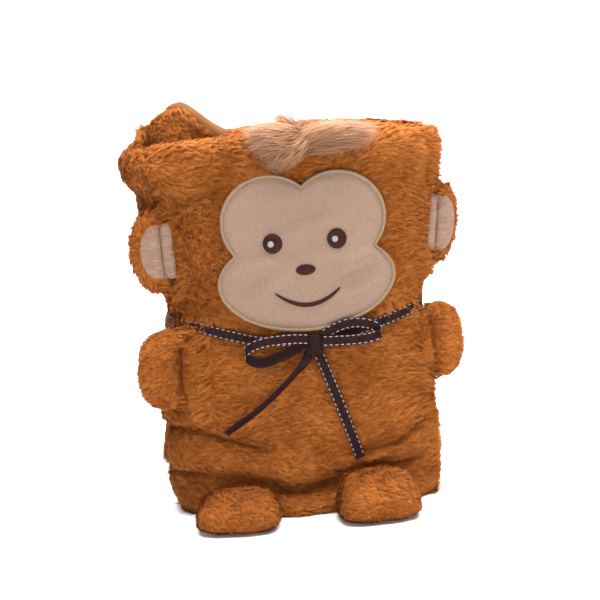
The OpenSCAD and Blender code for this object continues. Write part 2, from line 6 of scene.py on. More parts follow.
import bpy
import numpy as np
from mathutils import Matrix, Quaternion, Vector
from mathutils.bvhtree import BVHTree


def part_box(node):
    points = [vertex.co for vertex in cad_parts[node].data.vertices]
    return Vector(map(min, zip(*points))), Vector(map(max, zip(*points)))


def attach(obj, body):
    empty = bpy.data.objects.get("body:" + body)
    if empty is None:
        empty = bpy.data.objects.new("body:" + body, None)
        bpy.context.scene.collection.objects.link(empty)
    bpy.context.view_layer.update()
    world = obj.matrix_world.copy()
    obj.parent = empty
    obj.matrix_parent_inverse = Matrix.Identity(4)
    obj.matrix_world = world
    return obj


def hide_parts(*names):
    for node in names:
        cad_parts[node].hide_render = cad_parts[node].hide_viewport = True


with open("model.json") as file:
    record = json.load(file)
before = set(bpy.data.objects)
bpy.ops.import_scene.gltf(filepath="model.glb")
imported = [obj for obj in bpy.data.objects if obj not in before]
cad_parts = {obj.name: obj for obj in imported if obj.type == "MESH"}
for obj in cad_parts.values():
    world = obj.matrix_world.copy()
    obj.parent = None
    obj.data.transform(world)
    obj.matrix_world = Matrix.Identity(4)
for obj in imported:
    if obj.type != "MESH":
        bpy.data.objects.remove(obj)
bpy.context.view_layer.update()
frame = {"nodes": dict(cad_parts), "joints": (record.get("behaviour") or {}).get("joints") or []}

MM = 0.001
# A full turn in radians, for random phases
TURN = 6.28
SIDES = ((-1, "left"), (1, "right"))


# Camera and light


def make_camera():
    """At the photograph's viewing angle: a little above, a little to the left, and tilted."""
    distance, pixel, picture, sensor = 1.6, 0.00095, 600, 36
    rise, turn, tilt = (math.radians(v) for v in (11, -5, 4))
    centre, nudge = Vector((0, 0, 0.175)), Vector((2, 18, 0))
    back = Vector((math.sin(turn) * math.cos(rise), -math.cos(turn) * math.cos(rise), math.sin(rise)))
    cam = new_object("camera", bpy.data.cameras.new("camera"))
    cam.rotation_mode = "QUATERNION"
    cam.rotation_quaternion = back.to_track_quat("Z", "Y") @ Quaternion((0, 0, 1), -tilt)
    cam.location = centre + cam.rotation_quaternion @ nudge * pixel + back * distance
    cam.data.sensor_width = sensor
    cam.data.lens = sensor * distance / pixel / picture
    cam.data.clip_end = 50
    bpy.context.scene.camera = cam


def make_light():
    """A soft overhead lamp, a weak one in front and one on the backdrop, in a pale room."""
    world = bpy.data.worlds.new("studio")
    world.use_nodes = True
    background = world.node_tree.nodes["Background"]
    background.inputs["Color"].default_value = (1, 1, 1, 1)
    background.inputs["Strength"].default_value = 0.28
    bpy.context.scene.world = world
    bpy.context.scene.view_settings.view_transform = "Standard"
    lamps = [
        ("overhead", (0.2, 0.0, 1.75), (0, 0, 0.2), 1.8, 150),
        ("front", (-0.7, -2.2, 0.7), (0, 0, 0.15), 1.4, 10),
        ("backdrop", (0, 1.3, 2.4), (0, 4.2, 0.5), 2.5, 260),
    ]
    for name, place, aim, size, watts in lamps:
        lamp = bpy.data.lights.new(name, "AREA")
        lamp.size = size
        lamp.energy = watts
        obj = new_object(name, lamp)
        obj.location = place
        obj.rotation_mode = "QUATERNION"
        obj.rotation_quaternion = (Vector(place) - Vector(aim)).to_track_quat("Z", "Y")


# Meshes from arrays of points, in mm


def new_object(name, data):
    obj = bpy.data.objects.new(name, data)
    bpy.context.scene.collection.objects.link(obj)
    return obj


def mesh_from(name, points, quads=(), tris=(), uv=None, normals=None):
    """A smooth mesh of quads and triangles; uv and normals are given for each point."""
    quads = np.asarray(quads, np.int32).reshape(-1, 4)
    tris = np.asarray(tris, np.int32).reshape(-1, 3)
    corners = np.concatenate([quads.ravel(), tris.ravel()])
    starts = np.concatenate([np.arange(len(quads)) * 4, len(quads) * 4 + np.arange(len(tris)) * 3])
    mesh = bpy.data.meshes.new(name)
    mesh.vertices.add(len(points))
    mesh.vertices.foreach_set("co", (np.asarray(points, np.float32) * MM).ravel())
    mesh.loops.add(len(corners))
    mesh.loops.foreach_set("vertex_index", corners.astype(np.int32))
    mesh.polygons.add(len(starts))
    mesh.polygons.foreach_set("loop_start", starts.astype(np.int32))
    if uv is not None:
        layer = mesh.uv_layers.new(name="UVMap")
        layer.data.foreach_set("uv", np.asarray(uv, np.float32)[corners].ravel())
    mesh.update(calc_edges=True)
    mesh.polygons.foreach_set("use_smooth", np.ones(len(starts), bool))
    if normals is not None:
        mesh.normals_split_custom_set_from_vertices(normals.tolist())
    return new_object(name, mesh)


def grid_quads(rows, cols, wrap_rows=False, wrap_cols=False, start=0):
    """Quads of a grid of points stored row by row."""
    r = np.arange(rows if wrap_rows else rows - 1)
    c = np.arange(cols if wrap_cols else cols - 1)
    i, j = np.meshgrid(r, c, indexing="ij")
    i2, j2 = (i + 1) % rows, (j + 1) % cols
    quads = np.stack([i * cols + j, i * cols + j2, i2 * cols + j2, i2 * cols + j], -1)
    return quads.reshape(-1, 4) + start


def tube(name, rings, closed=False):
    """A mesh through rings of points; open ends get a fan."""
    count, m = rings.shape[:2]
    quads = grid_quads(count, m, wrap_rows=closed, wrap_cols=True)
    points, tris = rings.reshape(-1, 3), ()
    if not closed:
        points = np.concatenate([points, rings[:1].mean(1), rings[-1:].mean(1)])
        i, j = np.arange(m), (np.arange(m) + 1) % m
        first = np.stack([j, i, 0 * i + count * m], 1)
        last = np.stack([i, j, 0 * i + count * m + 1], 1)
        last[:, :2] += (count - 1) * m
        tris = np.concatenate([first, last])
    return mesh_from(name, points, quads, tris)


def finish(obj, mat, body, slot, *nodes):
    """Gives a piece its material and the body that it rides on, and hides the nodes it stands for; slot is
    not used.
    """
    obj.data.materials.append(mat)
    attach(obj, body)
    if nodes:
        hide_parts(*nodes)


def unit(v):
    return v / np.maximum(np.linalg.norm(v, axis=-1, keepdims=True), 1e-9)


def run_along(path):
    """How far along a path each of its points is."""
    return np.concatenate([[0], np.cumsum(np.linalg.norm(np.diff(path, axis=0), axis=1))])


def placed(at, run, path):
    """The places that are so far along a path."""
    return np.stack([np.interp(at, run, v) for v in path.T], -1)


def rounded(start, end, count):
    """Shares that crowd towards 1, for the rings of a crowned form."""
    return np.sin(np.linspace(start, end, count) * np.pi / 2)


def ease(u):
    """From 0 to 1 as u goes from 0 to 1, with level ends."""
    u = np.clip(u, 0, 1)
    return u * u * (3 - 2 * u)


def bell(u):
    return np.exp(-(u**2))


def waves(points, size, seed, count=9):
    """A smooth random field between about -1 and 1, with bumps of the given size in mm."""
    r = np.random.default_rng(seed)
    ways = unit(r.normal(size=(count, 3))) * (2 * np.pi / size) * r.uniform(0.6, 1.5, (count, 1))
    return np.sin(points @ ways.T + r.uniform(0, TURN, count)).sum(-1) / math.sqrt(count / 2) / 1.6


def own_points(obj):
    """The points in mm, the normals and the triangles of a piece's own mesh."""
    mesh = obj.data
    mesh.calc_loop_triangles()
    out = []
    for items, key, kind in (
        (mesh.vertices, "co", np.float32),
        (mesh.vertices, "normal", np.float32),
        (mesh.loop_triangles, "vertices", np.int32),
    ):
        values = np.empty(len(items) * 3, kind)
        items.foreach_get(key, values)
        out.append(values.reshape(-1, 3))
    return out[0].astype(float) / MM, out[1].astype(float), out[2]


# Materials


class Nodes:
    """A node material with a Principled shader, and short ways to feed it."""

    def __init__(self, name, rough, sheen=0.0, tint=(1, 1, 1), specular=0.3):
        self.mat = bpy.data.materials.new(name)
        self.mat.use_nodes = True
        self.tree = self.mat.node_tree
        self.shader = self.tree.nodes["Principled BSDF"]
        looks = {"Roughness": rough, "Specular IOR Level": specular, "Sheen Weight": sheen}
        for key, value in {**looks, "Sheen Roughness": 0.5, "Sheen Tint": (*tint, 1)}.items():
            self.shader.inputs[key].default_value = value

    def add(self, kind, **values):
        node = self.tree.nodes.new(kind)
        for key, value in values.items():
            if hasattr(node, key):
                setattr(node, key, value)
            else:
                node.inputs[key].default_value = value
        return node

    def link(self, a, b):
        self.tree.links.new(a, b)

    def place(self, stretch=(1, 1, 1)):
        """Object coordinates in mm, squeezed along an axis where a value is large."""
        co = self.add("ShaderNodeTexCoord")
        scale = self.add("ShaderNodeMapping", Scale=[v / MM for v in stretch])
        self.link(co.outputs["Object"], scale.inputs["Vector"])
        return scale.outputs["Vector"]

    def noise(self, size, detail=3, where=None):
        node = self.add("ShaderNodeTexNoise", Scale=1 / size, Detail=detail)
        self.link(where or self.place(), node.inputs["Vector"])
        return node.outputs["Fac"]

    def ramp(self, fac, stops):
        node = self.add("ShaderNodeValToRGB")
        while len(node.color_ramp.elements) < len(stops):
            node.color_ramp.elements.new(0.5)
        for e, (at, colour) in zip(node.color_ramp.elements, stops):
            e.position = at
            e.color = (*colour, 1)
        self.link(fac, node.inputs["Fac"])
        return node.outputs["Color"]

    def mix(self, fac, a, b):
        """Two colours mixed: inputs 6 and 7 and output 2 are the node's colours."""
        node = self.add("ShaderNodeMix", data_type="RGBA")
        for socket, at in ((fac, 0), (a, 6), (b, 7)):
            self.link(socket, node.inputs[at])
        return node.outputs[2]

    def colour(self, socket):
        self.link(socket, self.shader.inputs["Base Color"])

    def bump(self, height, strength, depth):
        node = self.add("ShaderNodeBump", Strength=strength, Distance=depth * MM)
        self.link(height, node.inputs["Height"])
        self.link(node.outputs["Normal"], self.shader.inputs["Normal"])


def pile_material(name, low, high, tint, sheen=0.35):
    """Pile fibres: the UV's x is a strand's tone, and y runs from its root to its tip."""
    m = Nodes(name, 0.75, sheen, tint, 0.06)
    uv = m.add("ShaderNodeUVMap", uv_map="UVMap")
    split = m.add("ShaderNodeSeparateXYZ")
    m.link(uv.outputs["UV"], split.inputs["Vector"])
    dark, light = (m.ramp(split.outputs["Y"], list(zip((0.0, 0.45, 1.0), tones))) for tones in (low, high))
    m.colour(m.mix(split.outputs["X"], dark, light))
    return m.mat


def cloth_material(name, dark, light, size, rough=0.85, sheen=0.3, bump=(0.3, 0.3), stretch=(1, 1, 1)):
    """A soft cloth: blotches of two tones under a fine nap."""
    m = Nodes(name, rough, sheen, light, 0.06)
    where = m.place(stretch)
    blotch = m.noise(size, 4, where)
    m.colour(m.ramp(blotch, [(0.3, dark), (0.7, light)]))
    m.bump(m.noise(bump[1], 4, where), bump[0], 0.3)
    return m.mat


def thread_material(name, dark, light, way, pitch=0.55, rough=0.45):
    """Satin stitch along one way, in mm: bumped ridges of thread, each painted light on its crown and dark in
    the groove beside it, as painted highlight and painted shade.
    """
    m = Nodes(name, rough, 0, light, 0.08)
    where = m.place(way)
    wave = m.add("ShaderNodeTexWave", Scale=0.314 / pitch, Distortion=1.5, Detail=2)
    m.link(where, wave.inputs["Vector"])
    m.colour(m.ramp(wave.outputs["Fac"], [(0.1, dark), (0.9, light)]))
    m.bump(wave.outputs["Fac"], 0.5, 0.25)
    return m.mat


PLUSH = pile_material(
    "plush",
    [(0.115, 0.025, 0.003), (0.195, 0.049, 0.006), (0.265, 0.076, 0.012)],
    [(0.215, 0.054, 0.009), (0.360, 0.109, 0.020), (0.480, 0.163, 0.038)],
    (1.0, 0.55, 0.25),
    0.1,
)
PLUSH_GROUND = cloth_material("plush_ground", (0.190, 0.049, 0.008), (0.245, 0.068, 0.011), 6)
VELOUR = cloth_material("velour", (0.184, 0.119, 0.085), (0.270, 0.180, 0.132), 0.9, 0.85, 0.3, (0.25, 0.6))
LINING = cloth_material(
    "ear_velour", (0.17, 0.102, 0.072), (0.262, 0.167, 0.123), 1.2, 0.8, 0.4, (0.6, 0.8), (0.15, 0.15, 1)
)
SATIN_TAN = cloth_material(
    "edge_satin", (0.115, 0.043, 0.012), (0.165, 0.068, 0.022), 14, 0.55, 0.05, (0.15, 0.5)
)
BROWN = thread_material("brown_thread", (0.019, 0.0050, 0.0035), (0.036, 0.0100, 0.0070), (0.3, 0.3, 1))
GLINT = thread_material("glint_thread", (0.21, 0.20, 0.20), (0.33, 0.315, 0.315), (1, 1, 0.3), 0.5)
BORDER = thread_material("border_thread", (0.18, 0.123, 0.072), (0.285, 0.204, 0.130), (1, 1, 1), 0.9)
SEAM = thread_material("seam_thread", (0.12, 0.035, 0.01), (0.26, 0.08, 0.02), (0.3, 0.3, 1), 0.8)
FIBRE = cloth_material("fibre_filling", (0.7, 0.7, 0.68), (0.85, 0.85, 0.83), 2)
RIBBON = cloth_material(
    "satin_ribbon", (0.010, 0.0034, 0.0034), (0.020, 0.0075, 0.007), 4, 0.6, 0.02, (0.12, 0.4)
)
PALE = thread_material("pale_thread", (0.22, 0.13, 0.09), (0.36, 0.23, 0.165), (0.3, 0.3, 1), 0.8)
DASH = thread_material("ribbon_stitch", (0.31, 0.265, 0.27), (0.46, 0.40, 0.41), (1, 1, 1), 0.5)
HAIR = pile_material(
    "hair",
    [(0.095, 0.038, 0.016), (0.220, 0.098, 0.048), (0.350, 0.180, 0.102)],
    [(0.200, 0.085, 0.038), (0.390, 0.195, 0.105), (0.550, 0.325, 0.205)],
    (1.0, 0.82, 0.68),
    0.3,
)


# Pile and hair: strands of real mesh, in clumps


def scatter(points, normals, tris, spacing, seed):
    """Places about one spacing apart on a mesh, with the smooth normal there."""
    r = np.random.default_rng(seed)
    a, b, c = (points[tris[:, k]] for k in range(3))
    area = np.linalg.norm(np.cross(b - a, c - a), axis=1) / 2
    count = int(area.sum() / spacing**2 * 5)
    pick = r.choice(len(tris), count, p=area / area.sum())
    u, v = r.random((2, count))
    over = u + v > 1
    u[over], v[over] = 1 - u[over], 1 - v[over]
    w = np.stack([1 - u - v, u, v], 1)[..., None]
    where = (points[tris[pick]] * w).sum(1)
    facing = unit((normals[tris[pick]] * w).sum(1))
    cell = np.floor(where / spacing).astype(np.int64) + 5000
    _, first = np.unique((cell[:, 0] * 10007 + cell[:, 1]) * 10007 + cell[:, 2], return_index=True)
    return where[first], facing[first]


def pile_places(obj, spacing, seed):
    return scatter(*own_points(obj), spacing, seed)


# The pile's tufts are longer sideways than they are high
NAP_STRETCH = np.array([0.55, 0.8, 1.4])
# Strands in a clump, how far they stand apart, a strand's width and the least height over the floor
CLUMP, CLUMP_R, STRAND_W, FLOOR_GAP = 7, 1.5 * 0.6, 0.6, 0.3
# A strand's rows of points: how far along it each is, and its share of the width
STRAND = ((0.0, 1.0), (0.42, 0.95), (0.76, 0.62), (1.0, 0.0))


def strands(name, root, normal, lay, length, lean, tone, curl, seed):
    """Clumps of tapered strands: each leans from its normal towards its lay, and gathers to its tip."""
    r = np.random.default_rng(seed)
    n = len(root)
    k = n * CLUMP
    idx = np.repeat(np.arange(n), CLUMP)
    nrm, fwd, side = (v[idx] for v in (normal, lay, unit(np.cross(normal, lay))))
    curly = curl[idx]
    off = r.normal(0, CLUMP_R, (k, 2))
    base = root[idx] + fwd * off[:, :1] + side * off[:, 1:] - nrm * 0.6
    size = length[idx] * r.uniform(0.7, 1.2, k)
    bend = lean[idx] + r.normal(0, 0.1, k)
    turn = r.normal(0, 0.09, k) + r.normal(0, 0.16, n)[idx]
    way = unit(fwd * np.cos(turn)[:, None] + side * np.sin(turn)[:, None])
    phase = r.uniform(0, TURN, n)[idx] + r.normal(0, 0.4, k)
    swing = (0.9 + 0.9 * curly) * r.uniform(0.5, 1.2, k)
    wide = STRAND_W * r.uniform(0.7, 1.25, k)
    twist = r.normal(0, 0.5, k)
    edge = unit(side * np.cos(twist)[:, None] + nrm * np.sin(twist)[:, None])
    rows, heights = [], []
    for s, w in STRAND:
        up = size * np.cos(bend) * (s - 0.28 * s * s)
        out = size * np.sin(bend) * s**1.15
        gather = -(0.55 + 0.45 * curly[:, None]) * s * s
        sway = swing * np.sin(phase + 3.6 * s) * s
        mid = base + nrm * up[:, None] + way * out[:, None]
        mid += fwd * (off[:, :1] * gather) + side * (off[:, 1:] * gather + sway[:, None])
        half = (wide * w / 2)[:, None] * edge
        rows += [mid - half, mid + half] if w else [mid]
        heights += [s, s] if w else [s]
    count = len(rows)
    points = np.stack(rows, 1).reshape(-1, 3)
    points[:, 2] = np.maximum(points[:, 2], FLOOR_GAP)
    first = np.arange(k)[:, None] * count
    quads = np.concatenate([first + [0, 2, 3, 1], first + [2, 4, 5, 3]])
    tris = first + [4, 6, 5]
    shade = np.clip(tone[idx] + r.normal(0, 0.05, k), 0, 1)
    uv = np.stack([np.repeat(shade, count), np.tile(heights, k)], 1) * 0.98 + 0.01
    tufts = np.stack([waves(root * NAP_STRETCH, 5, seed + q) for q in range(3)], 1)
    tufts *= 0.22 + 0.15 * curl[:, None]
    facing = unit(nrm * 0.55 + tufts[idx] + r.normal(0, 0.05, (k, 3)) - way * 0.15 + [0, 0, 0.12])
    return mesh_from(name, points, quads, tris, uv, np.repeat(facing, count, axis=0))


def tangent(way, normal):
    return unit(way - normal * (way * normal).sum(-1, keepdims=True))


# The roll, as in the solid model: a sheet at angle a, from +X through the front, and height z

ROLL_H, RIM_CROWN, LEFT_RISE, LEFT_AT, LEFT_SPREAD = 352, 7, 12, 200, 45
BACK_DIP, DIP_AT, DIP_SPREAD = 7, 243, 26
CORNER_RISE, CORNER_AT, CORNER_SPREAD = 34, 504, (38, 75)
BODY_D, NECK_D, NECK_Z, NECK_DIP, HEM_Z, HEM_IN = 118, 106, 186, 21, 22, 5
HIP_W, HIP_Z, CHEST_Z, HEAD_Z = 259, 46, 138, 254
WIDTHS = [(0, 256), (HIP_Z, HIP_W), (CHEST_Z, 248), (NECK_Z, 230), (HEAD_Z, 262), (ROLL_H, 286)]
SHEET_T, SQUARE, SHEET_FROM, SHEET_TO, EDGE_R = 18, 2.6, 28, 830, 8
PITCH = (BODY_D - SHEET_T) / 4
ROLL_X = PITCH / 4 - 6.5
HIP_HALF = (HIP_W + PITCH / 2 - SHEET_T) / 2
PILE = 3.0
# The angle where the outer turn ends, and the rows of points up the outer face and down the inner one
OUTER_TURN, OUT_ROWS, IN_ROWS = 392, 104, 60


def sind(a):
    return np.sin(np.radians(a))


def cosd(a):
    return np.cos(np.radians(a))


def eased(z, keys):
    """A value that eases from key to key as z rises."""
    out = np.full(np.shape(z), float(keys[0][1]))
    for (z0, v0), (z1, v1) in zip(keys, keys[1:]):
        out = np.where(z >= z0, v0 + (v1 - v0) * ease((z - z0) / (z1 - z0)), out)
    return out


def neck_at(a):
    return NECK_Z - NECK_DIP * np.maximum(0, sind(a)) ** 4


def width_at(a, z):
    return eased(z, [(neck_at(a) if h == NECK_Z else h, w) for h, w in WIDTHS])


def depth_at(a, z):
    hem = BODY_D * 0.985 - 2 * HEM_IN * ease(1.5 * sind(a))
    body = [(0, BODY_D * 0.97), (HEM_Z, hem), (HIP_Z, BODY_D), (CHEST_Z, BODY_D * 0.97)]
    return eased(z, body + [(neck_at(a), NECK_D), (HEAD_Z, BODY_D * 0.98), (ROLL_H, BODY_D * 1.03)])


def squared(v, power=SQUARE):
    return np.sign(v) * np.abs(v) ** (2 / power)


def middle(a, z):
    """The middle of the sheet's thickness, in x and y."""
    q = (a - 270) / 360
    turns = np.floor(q) + ease(2 * (q - np.floor(q)))
    half_w = (width_at(a, z) + PITCH / 2 - SHEET_T) / 2
    half_d = (depth_at(a, z) - SHEET_T) / 2
    x = ROLL_X + half_w * (1 - turns * PITCH / HIP_HALF) * squared(cosd(a))
    return np.stack([x, -half_d * (1 - turns / 2) * squared(sind(a))], -1)


def outward(a, z):
    d = unit(middle(a + 1, z) - middle(a - 1, z))
    return np.stack([-d[..., 1], d[..., 0]], -1)


def skin(a, z, off):
    """A point off the sheet's outer face."""
    a, z = np.broadcast_arrays(np.asarray(a, float), np.asarray(z, float))
    p = middle(a, z) + outward(a, z) * (SHEET_T / 2 + np.asarray(off))[..., None]
    return np.concatenate([p, z[..., None]], -1)


def angle_at(x, z):
    half_w = (width_at(90.0 + 0 * z, z) + PITCH / 2 - SHEET_T) / 2
    c = (x - ROLL_X) / (half_w + SHEET_T / 2)
    return np.degrees(np.arccos(np.sign(c) * np.minimum(0.985, np.abs(c)) ** (SQUARE / 2)))


def angle_of(p):
    """The angle of a place on the outer turn, seen from the roll's middle."""
    return np.degrees(np.arctan2(-p[:, 1], p[:, 0] - ROLL_X)) % 360


def front(x, z, off):
    """A point off the front, at x and z."""
    x, z = np.broadcast_arrays(np.asarray(x, float), np.asarray(z, float))
    return skin(angle_at(x, z), z, np.broadcast_to(off, x.shape))


def rim_at(a):
    corner = np.abs(a - CORNER_AT) / np.where(a < CORNER_AT, *CORNER_SPREAD)
    left = np.abs(a - LEFT_AT) / LEFT_SPREAD
    dip = np.abs(a - DIP_AT) / DIP_SPREAD
    ends = LEFT_RISE * ease(1 - left) - BACK_DIP * ease(1 - dip)
    return ROLL_H + RIM_CROWN * sind(a) ** 2 + CORNER_RISE * ease(1 - corner) + ends


# Folds of the front: a line in x and z, the groove's depth and width, and the swell above it

FOLDS = [
    ([(-140, 46), (-100, 42), (-68, 38), (-40, 32), (-28, 23), (-14, 20), (6, 27), (22, 32), (62, 38),
      (95, 41), (112, 43)], 11.5, 4.6, 4.5, 12.0),
    ([(-128, 88), (-112, 88), (-100, 84), (-82, 77), (-51, 67), (-34, 64)], 8.0, 4.2, 3.5, 9.0),
    ([(30, 52), (52, 55), (63, 57), (85, 63), (101, 72), (117, 90)], 8.5, 4.0, 3.5, 10.0),
    ([(-138, 305), (-116, 299), (-89, 306), (-58, 311)], 5.5, 7.0, 2.5, 22.0),
]


def folds(x, z):
    """How far the folds draw the front in and let it swell; the left end's folds don't fade there."""
    total = np.zeros(np.broadcast(x, z).shape)
    for line, deep, wide, swell, reach in FOLDS:
        xs, zs = zip(*line)
        above = z - np.interp(x, xs, zs)
        fade = ease((xs[-1] - x) / 22)
        if xs[0] >= -120:
            fade = ease((x - xs[0]) / 18) * fade
        total += fade * (swell * bell((above - reach) / reach) - deep * bell(above / wide))
    return total


def roll_out(a, z):
    """How far the visual skin stands off the solid's outer face."""
    p = skin(a, np.minimum(z, ROLL_H), 0)
    x = p[..., 0]
    off_neck, off_rim = z - neck_at(a), z - rim_at(a)
    in_front = ease((sind(a) + 0.3) / 0.5) * (a < 215)
    lumps = 1.6 * waves(p, 70, 3) + 0.7 * waves(p, 26, 4)
    gathers = bell(off_neck / 18) * 1.3 * np.sin(a / 360 * 44 * 2 * np.pi + 2 * waves(p, 90, 5))
    left_head = 7 * bell((z - 326) / 26) * ease((-x - 60) / 70)
    hem = 12 * bell((z - 6) / 12) * bell((x + 6) / 42) * (sind(a) > 0)
    corners = -9 * bell(z / 13) * ease((np.abs(x) - 88) / 40)
    rolled = 3 * bell((off_rim + 26) / 14) - 2.5 * ease((off_rim + 12) / 12)
    flank = 9 * ease((z - 315) / 30) * ease(1.4 - np.abs(a - 545) / 45)
    shoulder = -13 * ease((z - 332) / 30) * ease((-x - 105) / 40)
    cheek = 8 * bell((z - NECK_Z - 30) / 17) * ease((x - 85) / 30)
    ends = ease((z - 292) / 14) * ease((348 - z) / 12) * (sind(a) > 0)
    tuck = ends * (2.5 * bell((x - 134) / 7) - 4.5 * bell((x - 123 - (z - 315) / 9) / 3.6))
    swells = left_head + shoulder + hem + corners + rolled + cheek + tuck
    uneven = (lumps + gathers) * (1 - bell(off_neck / 8))
    return (in_front * folds(x, z) + uneven + swells) * (a < OUTER_TURN) + flank


def even_angles(start, end, step):
    """Angles that lie evenly spaced along the sheet."""
    fine = np.arange(start, end + 0.01, 0.25)
    run = run_along(middle(fine, 200.0 + 0 * fine))
    return np.interp(np.linspace(0, run[-1], int(run[-1] / step) + 1), run, fine)


def make_roll():
    """The sheet, folded double and rolled; also returns its points and where its pile grows."""
    angles = np.concatenate([even_angles(SHEET_FROM, 400, 3.2)[:-1], even_angles(400, SHEET_TO, 5.5)])
    a = angles[:, None]
    rim = rim_at(a) + 4 * ease(1 - np.abs(a - 206) / 36)
    core, top = SHEET_T / 2 - PILE, EDGE_R - 2
    crown = rim - top - PILE
    up, down = np.linspace(0, 1, OUT_ROWS)[None], np.linspace(1, 0, IN_ROWS)[None]
    arc, foot = np.linspace(0, 180, 11)[None, 1:-1], np.linspace(180, 360, 9)[None, 1:-1]
    # Round the section: the outer face, the rim, the inner face and the base.
    side = [1 + 0 * up, cosd(arc), -1 + 0 * down, cosd(foot)]
    z = [EDGE_R + up * (crown - EDGE_R), crown + top * sind(arc), EDGE_R + down * (crown - EDGE_R),
         np.maximum(0.6, EDGE_R + EDGE_R * sind(foot))]
    side, z = (
        np.concatenate([np.broadcast_to(v, (len(angles), v.shape[1])) for v in part], 1) for part in (side, z)
    )
    aa = np.broadcast_to(a, z.shape)
    low = np.minimum(z, ROLL_H)
    end = np.minimum(1, np.minimum(aa - SHEET_FROM, SHEET_TO - aa) / 3.5)
    end = 0.35 + 0.65 * np.sqrt(np.clip(1 - (1 - end) ** 2, 0, 1))
    off = core * side * end + np.where(side > 0, roll_out(aa, z), 0) * ease(side + 0.3)
    off = np.where(side > 0, np.maximum(off, -0.6 * core * end), off)
    p = middle(aa, low) + outward(aa, low) * off[..., None]
    points = np.concatenate([p, z[..., None]], -1)
    cols, rows = z.shape
    faces = [grid_quads(cols, rows, wrap_cols=True)]
    i = np.arange(rows // 2 - 1)
    for start, flip in ((0, -1), ((cols - 1) * rows, 1)):
        cap = start + np.stack([i, i + 1, rows - 2 - i, rows - 1 - i], 1)
        faces.append(cap[:, ::flip])
    obj = mesh_from("roll_sheet", points.reshape(-1, 3), np.concatenate(faces))
    finish(obj, PLUSH_GROUND, "body", "plush", "blanket_roll")
    ring = np.arange(rows)[None]
    outside = ((ring < up.shape[1] + arc.shape[1]) | (ring > rows - 5)) & (aa <= 402)
    taped = (np.abs(aa - CORNER_AT + 10.5) < 19) & (z > rim - 14)
    near_rim = (z > rim - 62) & ~taped
    free_end = aa < SHEET_FROM + 9
    return points, outside | near_rim | free_end, aa, z


def curls(p):
    """Where the pile is curly: left of the face and down the head's left end."""
    combed = ease((p[:, 2] - 292) / 14) * ease((p[:, 0] + 130) / 14)
    return ease((-p[:, 0] - 45) / 35) * ease((p[:, 2] - 190) / 30) * (1 - combed)


def lay_of(p):
    """The way the pile is brushed: sideways on the front, in long waves, with curls at the head's left."""
    swirl = 0.5 * waves(p, 110, 21) + 0.3 * waves(p, 34, 22)
    t = -0.2 + swirl + 1.1 * curls(p) * (1.5 * waves(p, 10, 23) + 0.3)
    way = np.stack([np.cos(t), 0 * t, np.sin(t)], 1)
    way[p[:, 1] > 10, 0] *= -1
    return way


# The pile's length in mm, and how far it leans from upright
PILE_LONG, PILE_LEAN = 7.5, 1.12


def clumps(p, n, name, body, seed, length=PILE_LONG, lean=PILE_LEAN, way=None):
    """One piece of pile on places p that face n, riding on a body; ribbons press it down."""
    r = np.random.default_rng(seed)
    lay = tangent(lay_of(p) if way is None else way, n)
    curly = curls(p) * name.startswith("roll")
    x, z = p[:, 0], p[:, 2]
    shade = 0.5 + 0.2 * waves(p, 50, 31) + (0.24 + 0.16 * curly) * waves(p * NAP_STRETCH, 6, 32)
    shade += r.normal(0, 0.08, len(p))
    # Painted light: the pile up at the rim's right is painted lighter where the light falls on it, and the
    # curly pile is painted darker as painted shade between its curls.
    shade += 0.75 * ease((x - 40) / 50) * ease((z - 318) / 25) - 0.12 * curly
    # Painted light: the raised corner's left flank is painted lighter, as if it caught more light.
    shade += 0.85 * ease((z - 342) / 14) * (x < -50)
    uneven = np.clip(1 + 0.2 * waves(p, 14, 33) + r.normal(0, 0.1, len(p)), 0.5, 1.5)
    size = length * uneven * (1 - curly * (0.1 + 0.25 * ease((z - 290) / 20)))
    tilt = lean + 0.1 * waves(p, 17, 34) + r.normal(0, 0.07, len(p)) - 0.25 * curly
    far = clear_of_ribbon(p)
    size *= 0.4 + 0.6 * far
    tilt = tilt * far + 1.4 * (1 - far)
    finish(strands(name, p, n, lay, size, tilt, shade, curly, seed), PLUSH, body, "plush")


RIBBON_LINES = []


def clear_of_ribbon(p):
    """0 under a ribbon that lies on the pile, 1 well away from it."""
    near = np.full(len(p), 99.0)
    for line in RIBBON_LINES:
        for q in line:
            near = np.minimum(near, ((p - q) ** 2).sum(1))
    return ease((np.sqrt(near) - 4) / 6)


# The face: a muzzle and two brow lobes, seen from the face's middle

FACE_X, RIBBON_W, MUZZLE_DROP = 6, 9.5, 55
NECK_FRONT = float(neck_at(np.array(90.0)))
BROW_AT = NECK_FRONT + RIBBON_W / 2 + 106.2
FACE_Z = BROW_AT - MUZZLE_DROP * 0.52
LOBES = [
    (-31.5, BROW_AT - FACE_Z, 44, 42),
    (31.5, BROW_AT - FACE_Z, 44, 42),
    (0, BROW_AT - MUZZLE_DROP - FACE_Z, 82, 44.5),
]
BORDER_W, PATCH_TOP, PATCH_LEAST, GAP = 3.5, 2.4, 0.9, 0.4


def face_reach(t):
    """How far the face goes from its middle, at an angle."""
    best = np.zeros_like(t)
    for cx, cz, rx, rz in LOBES:
        d = np.stack([np.cos(t) / rx, np.sin(t) / rz])
        c = np.array([cx / rx, cz / rz]).reshape(2, *([1] * t.ndim))
        qa, qb = (d * d).sum(0), (d * c).sum(0)
        root = qb * qb - qa * ((c * c).sum() - 1)
        best = np.maximum(best, np.where(root < 0, 0, (qb + np.sqrt(np.maximum(root, 0))) / qa))
    return best


def in_face(x, z, extra):
    t = np.arctan2(z - FACE_Z, x - FACE_X)
    return np.hypot(x - FACE_X, z - FACE_Z) < face_reach(t) + extra


